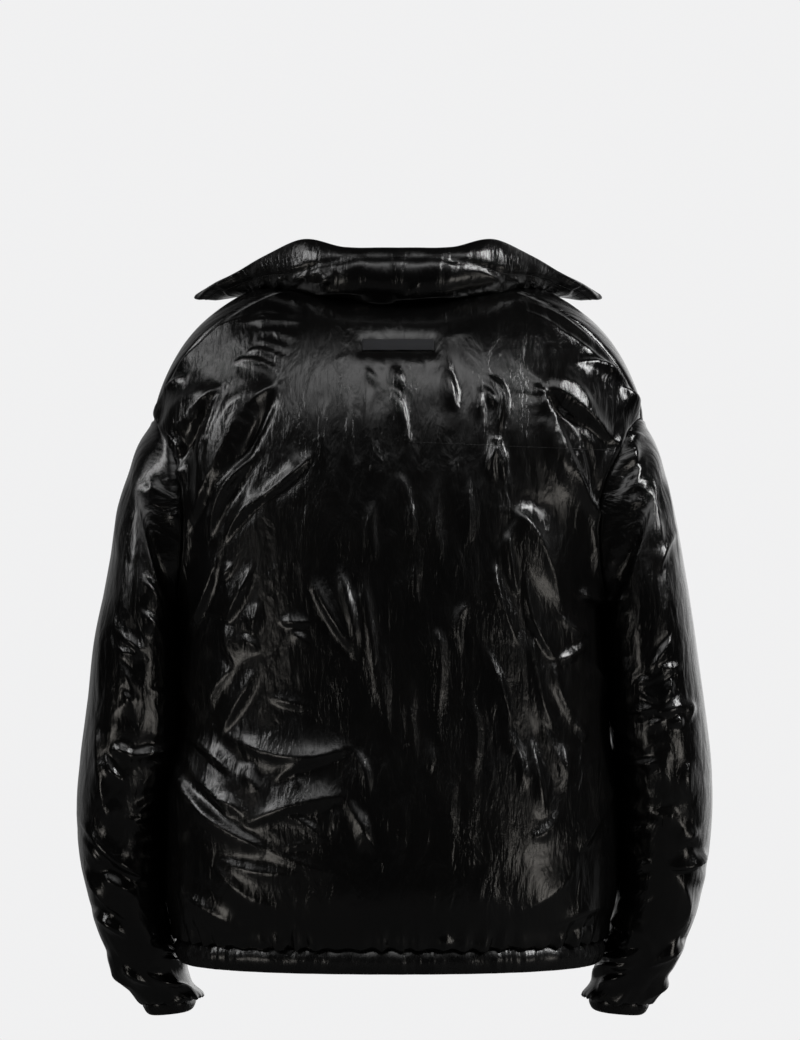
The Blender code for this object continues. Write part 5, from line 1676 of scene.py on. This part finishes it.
# How much of the puckers shows at the edges, and what the swell adds
BAND_SWELL_SHARES = (0.30, 0.70)
BAND_ROLL = 0.45
PUCKER_SHIFT = 0.3
LEAST_PUCKER = 0.25
HEM_GATHER = 0.0022
HEM_SPACING = 0.0022
CUFF_GATHER = 0.0012
CUFF_SPACING = 0.0016
CUFF_FINE_TURNS = 400
CUFF_TAKEN_UP = 0.008


def gathers(run, pitch, rng, closed):
    """Uneven puckers along a run: a new ridge or dip at about every half pitch."""
    count = max(4, int(run[-1] / pitch * 2))
    knots = np.linspace(0, run[-1], count) + rng.uniform(-PUCKER_SHIFT, PUCKER_SHIFT, count) * pitch / 2
    knots[0], knots[-1] = 0, run[-1]
    heights = np.where(np.arange(count) % 2 == 0, 1.0, -1.0) * rng.uniform(LEAST_PUCKER, 1.0, count)
    if closed:
        heights[-1] = heights[0]
    return smooth_rows(np.stack([knots, heights], axis=1), run)[0]


def band_piece(name, top, down, radial, depth, closed, bulge, gather, rng, material):
    """A casing round an elastic: an outer face, a rolled foot and an inner face, gathered along its run."""
    run = line_run(top)
    if closed:
        run = np.append(run, run[-1] + np.linalg.norm(top[0] - top[-1]))
    broad = [gathers(run, BAND_BROAD_PITCH, rng, closed)[: len(top)] for _ in range(2)]
    narrow = [gathers(run, BAND_FINE_PITCH, rng, closed)[: len(top)] for _ in range(2)]
    patches = [gathers(run, BAND_PATCH_PITCH, rng, closed)[: len(top)] for _ in range(2)]
    patches = [smoothstep(*BAND_PATCH_EDGES, patch) for patch in patches]
    shares = np.linspace(0, 1, BAND_FACE_ROWS + 1)
    rows = []
    for face, sign in ((shares, 1), (shares[::-1], -1)):
        for share in face:
            sway = broad[0] * (1 - share) + broad[1] * share
            fine = BAND_FINE * (narrow[0] * (1 - share) ** 2 * patches[0] + narrow[1] * share * patches[1])
            swell = math.sin(math.pi * (share * BAND_SWELL[1] + BAND_SWELL[0]))
            shares_out = BAND_SWELL_SHARES[0] + BAND_SWELL_SHARES[1] * swell
            out = bulge * swell + gather * (BAND_MIX * sway + BAND_MIX * fine) * shares_out
            if sign < 0:
                out = out * 0.5 - BINDING_WALL
            rows.append(top + down * (depth * share) + radial * out[:, None])
        if sign > 0:
            for step in range(1, BAND_ROLL_ROWS + 1):
                t = step / (BAND_ROLL_ROWS + 1)
                drop = down * (BINDING_WALL * BAND_ROLL * math.sin(math.pi * t))
                rows.append(rows[BAND_FACE_ROWS] + drop - radial * (BINDING_WALL * t))
    grid = np.array(rows)
    index = numbered(grid.shape, closed)
    faces = quads(index) + quads(np.stack([index[-1], index[0]]))
    if not closed:
        for column in (0, -1):
            ring = [int(i) for i in index[:, column]]
            faces.append(ring if column else ring[::-1])
    rise = (np.arange(grid.shape[0]) * depth / BAND_FACE_ROWS)[:, None]
    cloth = np.stack(np.broadcast_arrays(run[: len(top)], rise, BAND_CRINKLE), axis=-1)
    item = add_piece(name, grid, faces, material, cloth, name)
    return grid


def even_run(points, spacing, closed):
    """Points along a line, evenly spaced."""
    if closed:
        points = np.concatenate([points, points[:1]])
    run = line_run(points)
    found = along_path(np.linspace(0, run[-1], int(run[-1] / spacing) + 1), run, points)
    return found[:-1] if closed else found


def make_hem(body, materials, rng):
    pieces = [body[name][0][0] for name in ("front_left", "back", "front_right")]
    line = even_run(np.concatenate([pieces[0], pieces[1][1:-1], pieces[2]]), HEM_SPACING, False)
    tangent = unit(np.gradient(line, axis=0))
    radial = unit(np.cross(tangent, (0, 0, 1)))
    down = np.array([0, 0, -1.0])
    depth = HEM_SEAM - SEAM_GAP - HEM_BOTTOM
    top = line + down * SEAM_GAP - radial * HEM_TUCK
    return band_piece("hem_band", top, down, radial, depth, False, HEM_ROLL + HEM_TUCK, HEM_GATHER, rng,
                      materials["binding"])


def make_cuff(side, materials, rng):
    name = "cuff_left" if side > 0 else "cuff_right"
    fine = np.linspace(0, 2 * math.pi, CUFF_FINE_TURNS, endpoint=False)
    last = np.full(fine.shape, len(SLEEVE_ROWS) - 1.0)
    ring = even_run(sleeve_ring(side, last, fine), CUFF_SPACING, True)
    middle = ring.mean(axis=0)
    axis = unit(np.cross(ring[len(ring) // 4] - middle, ring[0] - middle))
    axis = axis * -np.sign(axis[2])
    radial = unit(ring - middle)
    height = CUFF_HEIGHT - CUFF_TAKEN_UP
    inward = (CUFF_TAPER - 1) * np.linalg.norm(ring - middle, axis=1, keepdims=True) * radial
    down = (axis * height + inward) / height
    top = ring + axis * SEAM_GAP - radial * CUFF_TUCK
    band_piece(name, top, down, radial, height, True, CUFF_TUCK, CUFF_GATHER, rng, materials["binding"])


# ---- Zips, label and sewing ----

ZIP_STEP = 0.003
# away from the cloth's edge, above its surface
TAPE_SECTION = ((0.0005, -0.0022), (0.0040, -0.0019), (0.0040, -0.0030), (0.0005, -0.0033))
TOOTH_PITCH = 0.0026
TOOTH_SIZE = (0.0025, 0.0014, 0.0038)
TOOTH_PLACE = 0.0045
TOOTH_STAND = -0.0025
EDGE_STITCH_COLUMN = 4
# The points of a seam that are sewn, short of its ends
SEWN = slice(3, -3)
BACK_SEAM_ENDS = (-0.222, -0.003)
BACK_SEAM_LEVEL = -0.158
BACK_SEAM_SLOPE = 0.035
STITCH_SIDES = 6
# Share of a stitch's length, how high its middle stands in radii, share of its thickness
STITCH_SHAPE = ((0, -0.6, 0.5), (0.18, 0.6, 1), (0.5, 0.9, 1), (0.82, 0.6, 1), (1, -0.6, 0.5))
STITCH_RADIUS = 0.00034
STITCH_LENGTH = 0.0026
STITCH_PITCH = 0.0038
LABEL_COLUMNS = 48
LABEL_ROWS = 12
LABEL_THICKNESS = 0.0011
LABEL_CLEARANCE = 0.0007
LABEL_SEARCH_ROWS = 60
LABEL_SLOPE_STEP = 0.01
LABEL_SMOOTHING = 12
LABEL_RIPPLE = 0.0004
# In radians, along its length and at its end
LABEL_RIPPLE_TURN = 17
LABEL_RIPPLE_START = 0.6
LABEL_BULGE = 0.0008
LABEL_STITCH = (0.0007, 0.0007, 0.0046)
LABEL_STITCH_STAND = 0.0002
PATH_SMOOTHING = 3
# In tooth pitches from the foot of the zip
FIRST_TOOTH = {1: 1.0, -1: 1.5}
# The corners of each side of a box
BOX_SIDES = ((0, 1, 3, 2), (4, 6, 7, 5), (0, 4, 5, 1), (2, 3, 7, 6), (0, 2, 6, 4), (1, 5, 7, 3))


def oriented_boxes(name, places, axes, size, material):
    """Small boxes at these places, each with its three axes."""
    corners = np.array([(x, y, z) for x in (-0.5, 0.5) for y in (-0.5, 0.5) for z in (-0.5, 0.5)]) * size
    points, faces = [], []
    for place, frame in zip(places, axes):
        faces += [[len(points) + i for i in side] for side in BOX_SIDES]
        points += list(place + corners @ frame)
    add_piece(name, points, faces, material)


def smooth_line(values, rounds):
    for _ in range(rounds):
        inside = (values[:-2] + 2 * values[1:-1] + values[2:]) / 4
        values = np.concatenate([values[:1], inside, values[-1:]])
    return values


def stitches(name, path, lift, material):
    """A row of short threads along a path, each sunk at both ends into the cloth."""
    run = line_run(path)
    stations, rises, girths = np.array(STITCH_SHAPE).T
    points, faces = [], []
    for start in np.arange(STITCH_PITCH / 2, run[-1] - STITCH_PITCH, STITCH_PITCH):
        line = along_path(start + stations * STITCH_LENGTH, run, path)
        up = unit(along_path(start, run, lift))
        line = line + up * (rises * STITCH_RADIUS)[:, None]
        along = unit(line[-1] - line[0])
        side = unit(np.cross(along, up))
        first = len(points)
        for middle, girth in zip(line, girths):
            for turn in 2 * math.pi * np.arange(STITCH_SIDES) / STITCH_SIDES:
                away = side * math.cos(turn) + up * math.sin(turn)
                points.append(middle + away * STITCH_RADIUS * girth)
        for ring in range(first, len(points) - STITCH_SIDES, STITCH_SIDES):
            for k in range(STITCH_SIDES):
                a, b = ring + k, ring + (k + 1) % STITCH_SIDES
                faces.append([a, b, b + STITCH_SIDES, a + STITCH_SIDES])
        faces.append(list(range(first + STITCH_SIDES - 1, first - 1, -1)))
        faces.append(list(range(len(points) - STITCH_SIDES, len(points))))
    add_piece(name, points, faces, material)


def make_label(back, materials):
    """The sewn patch on the flat cloth of the back, held at its corners by four small stitches."""
    plain = back[0]
    middle_level = LABEL_TOP - LABEL_SIZE[1] / 2
    across = np.linspace(-0.5, 0.5, LABEL_COLUMNS + 1) * LABEL_SIZE[0]
    line = []
    for x in across:
        column = np.abs(plain[-LABEL_SEARCH_ROWS:, :, 0] - x).argmin(axis=1)
        rise = plain[-LABEL_SEARCH_ROWS:][np.arange(LABEL_SEARCH_ROWS), column]
        order = np.argsort(rise[:, 2])
        depth = np.interp(middle_level, rise[order, 2], rise[order, 1])
        below = np.interp(middle_level - LABEL_SLOPE_STEP, rise[order, 2], rise[order, 1])
        line.append((x, depth, middle_level, below - depth))
    line = np.array(line)
    depth, slope = (smooth_line(line[:, k], LABEL_SMOOTHING) for k in (1, 3))
    middle = np.stack([across, depth, line[:, 2]], axis=-1)
    drop = np.full(len(across), -LABEL_SLOPE_STEP)
    down = unit(np.stack([np.zeros(len(across)), slope, drop], axis=-1))
    normal = unit(np.cross(down, np.gradient(middle, axis=0)))
    normal = normal * np.sign(normal[:, 1:2])
    drop = np.linspace(-0.5, 0.5, LABEL_ROWS + 1) * LABEL_SIZE[1]
    share = np.linspace(0, 1, LABEL_COLUMNS + 1)
    turn = share * LABEL_RIPPLE_TURN + LABEL_RIPPLE_START
    ripple = LABEL_RIPPLE * np.sin(turn) * np.sin(math.pi * share)
    bulge = LABEL_BULGE * np.cos(math.pi * drop / LABEL_SIZE[1])[:, None]
    lift = LABEL_CLEARANCE + LABEL_THICKNESS + ripple[None] + bulge
    face = middle[None] + down[None] * drop[:, None, None] + normal[None] * lift[..., None]
    under_face = face - normal[None] * LABEL_THICKNESS
    index = numbered(face.shape)
    under = index + index.size
    faces = quads(index) + quads(under)
    for edge in ((0,), (-1,), (slice(None), 0), (slice(None), -1)):
        faces += quads(np.stack([index[edge], under[edge]]))
    run, rise = cloth_run(face)
    cloth = [np.stack([run, rise, np.zeros(run.shape)], axis=-1)] * 2
    item = add_piece("label", (face, under_face), faces, materials["label"], cloth, "label")
    places, axes = [], []
    for row, column in ((1, 1), (1, -2), (-2, 1), (-2, -2)):
        places.append(face[row, column] + normal[column] * LABEL_STITCH_STAND)
        axes.append(np.array([(1.0, 0.0, 0.0), normal[column], down[column]]))
    oriented_boxes("label_stitches", places, axes, LABEL_STITCH, materials["thread"])


def zip_path(body, collar, hem, side):
    """A front edge from the foot of the hem to the collar's corner: points, ways off the cloth, lengths."""
    column = 0 if side > 0 else -1
    grid, _, normals = body["front_left" if side > 0 else "front_right"]
    outside, collar_normals, *_ = collar
    band = hem[BAND_FACE_ROWS::-1, column]
    band_out = normals[:1, column] * (1, 1, 0)
    path = np.concatenate([band, grid[1:, column], outside[1:-1, column]])
    out = np.concatenate([
        np.repeat(band_out, len(band), axis=0), normals[1:, column], collar_normals[1:-1, column],
    ])
    run = line_run(path)
    at = np.linspace(0, run[-1], int(run[-1] / ZIP_STEP))
    path, out = along_path(at, run, path), along_path(at, run, unit(out))
    path = smooth_line(path, PATH_SMOOTHING)
    along = unit(np.gradient(path, axis=0))
    away = unit(np.cross(out, along)) * side
    facing = unit(np.cross(along, away)) * side
    return path, away, facing, at


def make_zips(body, collar, hem, materials):
    """Woven tapes along the front edges, each with a row of teeth, the rows half a tooth apart."""
    for side, word in ((1, "left"), (-1, "right")):
        path, away, facing, at = zip_path(body, collar, hem, side)
        rings = np.stack([path + away * out + facing * above for out, above in TAPE_SECTION], axis=1)
        index = numbered(rings.shape, True)
        faces = quads(index) + [index[0, :-1].tolist(), index[-1, :-1][::-1].tolist()]
        across = np.array([out for out, _ in TAPE_SECTION])
        cloth = np.stack(np.broadcast_arrays(across, at[:, None], 0.0), axis=-1)
        add_piece(f"zip_tape_{word}", rings, faces, materials["tape"], cloth, f"zip_{word}")
        places, axes = [], []
        for run in np.arange(FIRST_TOOTH[side] * TOOTH_PITCH, at[-1] - TOOTH_PITCH, TOOTH_PITCH):
            place, over, up = (along_path(run, at, line) for line in (path, away, facing))
            places.append(place + over * TOOTH_PLACE + up * TOOTH_STAND)
            axes.append(np.array([over, unit(np.cross(over, up)), up]))
        oriented_boxes(f"zip_teeth_{word}", places, axes, TOOTH_SIZE, materials["teeth"])


def make_sewing(body, collar, materials):
    """Rows of stitches: round the collar's edge, down the front edges and across the back."""
    _, _, settled, sewn_row = collar
    normals = grid_normals(settled, False)
    rows = np.arange(COLLAR_FACE_ROWS + 1)
    line, lift = (
        np.array([along_path(row, rows, grid[: len(rows), column]) for column, row in enumerate(sewn_row)])
        for grid in (settled, normals)
    )
    stitches("collar_stitches", line[SEWN], unit(lift)[SEWN], materials["thread"])
    for word, column in (("left", EDGE_STITCH_COLUMN), ("right", -1 - EDGE_STITCH_COLUMN)):
        _, outer, normals = body[f"front_{word}"]
        line, lift = outer[SEWN, column], normals[SEWN, column]
        stitches(f"front_stitches_{word}", line, lift, materials["thread"])
    _, outer, normals = body["back"]
    line, lift = [], []
    for column in range(outer.shape[1]):
        x = outer[HEM_TO_UNDERARM_ROWS, column, 0]
        if not BACK_SEAM_ENDS[0] < x < BACK_SEAM_ENDS[1]:
            continue
        level = BACK_SEAM_LEVEL + BACK_SEAM_SLOPE * (x - BACK_SEAM_ENDS[1])
        line.append(along_path(level, outer[:, column, 2], outer[:, column]))
        lift.append(along_path(level, outer[:, column, 2], normals[:, column]))
    stitches("back_seam_stitches", np.array(line), np.array(lift), materials["thread"])


# ---- Light and camera ----

FLOOR_LEVEL = -1.45
FLOOR_RADIUS = 3.2
FLOOR_SHOWN = 0.86
FLOOR_MIRRORED = 0.07
FLOOR_GLOW = 0.42
BACKDROP_GLOW = 0.90
STUDIO_DARK = 0.006
LEFT_GLOW = 0.22
# Where the bright part of the studio sets in or fades out, in each direction
BEHIND = (-0.90, -0.25)
BELOW_TOP = (0.35, 0.85)
ABOVE_FLOOR = (-0.45, -0.05)
LEFT_TO_RIGHT = (-0.15, 0.15)
FLOOR_SIDES = 96
FLOOR_ROUGHNESS = 0.75
# size, power: together they fade out from a bright core
OVERHEAD_LAYERS = (((2.2, 0.5), 3), ((3.0, 1.1), 7), ((3.8, 1.8), 10), ((4.8, 2.8), 12))
OVERHEAD_PLACE = (0.0, 2.7, 2.4)
OVERHEAD_TARGET = (0, 0, -0.10)
OVERHEAD_STEP = 0.05
WHITE = (1.0, 1.0, 1.0)
WARM = (1.0, 0.95, 0.88)
# name, place, target, size, power, colour
LAMPS = (
    ("left_strip", (2.2, 0.3, 1.8), (0.1, 0, -0.2), (0.8, 1.0), 4.5, WHITE),
    ("left_side", (2.3, 1.1, 1.0), (0.1, 0, -0.3), (0.45, 1.5), 15, WHITE),
    ("left_low", (2.0, 1.7, -1.1), (0.2, 0, -0.5), (0.7, 0.6), 3.5, WARM),
    ("right_low", (-2.0, 1.7, -1.1), (-0.2, 0, -0.5), (0.7, 0.6), 3.5, WARM),
    ("right_strip", (-2.2, 1.2, 1.3), (-0.1, 0, -0.2), (0.5, 1.5), 44, WHITE),
)


def make_world():
    """A pale backdrop to the camera. To the jacket it is bright behind, near the horizon, else dark."""
    world = bpy.data.worlds.new("soft_studio")
    bpy.context.scene.world = world
    world.use_nodes = True
    tree = Tree(world.node_tree)
    shown = tree.nodes["Background"]
    shown.inputs["Color"].default_value = (*BACKDROP, 1)
    place = tree.add("TexCoord").outputs["Generated"]
    split = tree.add("SeparateXYZ")
    tree.links.new(place, split.inputs["Vector"])
    behind = tree.ramp(split.outputs["Y"], 1.0, 0.0, *BEHIND)
    below_top = tree.ramp(split.outputs["Z"], 1.0, 0.0, *BELOW_TOP)
    above_floor = tree.ramp(split.outputs["Z"], 0.0, 1.0, *ABOVE_FLOOR)
    level = tree.multiply(behind, below_top)
    level = tree.multiply(level, above_floor)
    sideways = tree.ramp(split.outputs["X"], 1.0, LEFT_GLOW, *LEFT_TO_RIGHT)
    level = tree.multiply(level, sideways)
    light = tree.add("Background")
    light.inputs["Color"].default_value = (*WHITE, 1)
    glow = tree.multiply(level, BACKDROP_GLOW)
    glow = tree.combine("ADD", glow, STUDIO_DARK)
    tree.links.new(glow, light.inputs["Strength"])
    rays = tree.add("LightPath")
    blend = tree.add("MixShader")
    tree.links.new(rays.outputs["Is Camera Ray"], blend.inputs["Fac"])
    tree.links.new(light.outputs["Background"], blend.inputs[1])
    tree.links.new(shown.outputs["Background"], blend.inputs[2])
    tree.links.new(blend.outputs["Shader"], tree.nodes["World Output"].inputs["Surface"])


def area_light(name, place, target, size, power, tint):
    lamp = bpy.data.lights.new(name, "AREA")
    lamp.shape = "RECTANGLE"
    lamp.size, lamp.size_y = size
    lamp.energy = power
    lamp.color = tint
    item = bpy.data.objects.new(name, lamp)
    item.location = place
    item.rotation_euler = (Vector(target) - Vector(place)).to_track_quat("-Z", "Y").to_euler()
    bpy.context.scene.collection.objects.link(item)


def make_stage():
    mesh = bpy.data.meshes.new("floor")
    turns = [2 * math.pi * k / FLOOR_SIDES for k in range(FLOOR_SIDES)]
    edge = [(FLOOR_RADIUS * math.cos(t), FLOOR_RADIUS * math.sin(t), 0) for t in turns]
    mesh.from_pydata(edge, [], [list(range(FLOOR_SIDES))])
    material, tree, shader = shader_tree("pale_floor")
    seen = tree.add("LightPath").outputs["Is Camera Ray"]
    tree.links.new(tree.ramp(seen, FLOOR_MIRRORED, FLOOR_SHOWN, 0.0, 1.0), shader.inputs["Base Color"])
    tree.links.new(tree.ramp(seen, 0.0, FLOOR_GLOW, 0.0, 1.0), shader.inputs["Emission Strength"])
    shader.inputs["Emission Color"].default_value = (*BACKDROP, 1)
    shader.inputs["Roughness"].default_value = FLOOR_ROUGHNESS
    mesh.materials.append(material)
    floor = bpy.data.objects.new("floor", mesh)
    floor.location = (0, 0, FLOOR_LEVEL)
    bpy.context.scene.collection.objects.link(floor)


def make_lights():
    x, y, z = OVERHEAD_PLACE
    for layer, (size, power) in enumerate(OVERHEAD_LAYERS):
        place = (x, y + OVERHEAD_STEP * layer, z)
        area_light(f"over_camera_{layer}", place, OVERHEAD_TARGET, size, power, WHITE)
    for lamp in LAMPS:
        area_light(*lamp)


def make_camera():
    data = bpy.data.cameras.new("camera")
    data.lens = CAMERA_LENS
    data.sensor_width = CAMERA_SENSOR
    data.sensor_fit = "HORIZONTAL"
    data.clip_end = CAMERA_REACH
    item = bpy.data.objects.new("camera", data)
    item.location = CAMERA_PLACE
    item.rotation_euler = (math.pi / 2, 0, math.pi)
    bpy.context.scene.collection.objects.link(item)
    bpy.context.scene.camera = item


def main():
    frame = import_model()
    rng = np.random.default_rng(SEED)
    materials = make_materials()
    body = make_body(materials, rng)
    for side in (1, -1):
        make_sleeve(side, materials, rng)
        make_cuff(side, materials, rng)
    collar = make_collar(body, materials, rng)
    hem = make_hem(body, materials, rng)
    make_label(body["back"], materials)
    make_zips(body, collar, hem, materials)
    make_sewing(body, collar, materials)
    for name in ("zip_slider", "zip_pull"):
        item = frame["nodes"][name]
        item.data.materials.clear()
        item.data.materials.append(materials["metal"])
    make_world()
    make_lights()
    make_stage()
    make_camera()
    bpy.context.scene.view_settings.view_transform = "Standard"


main()
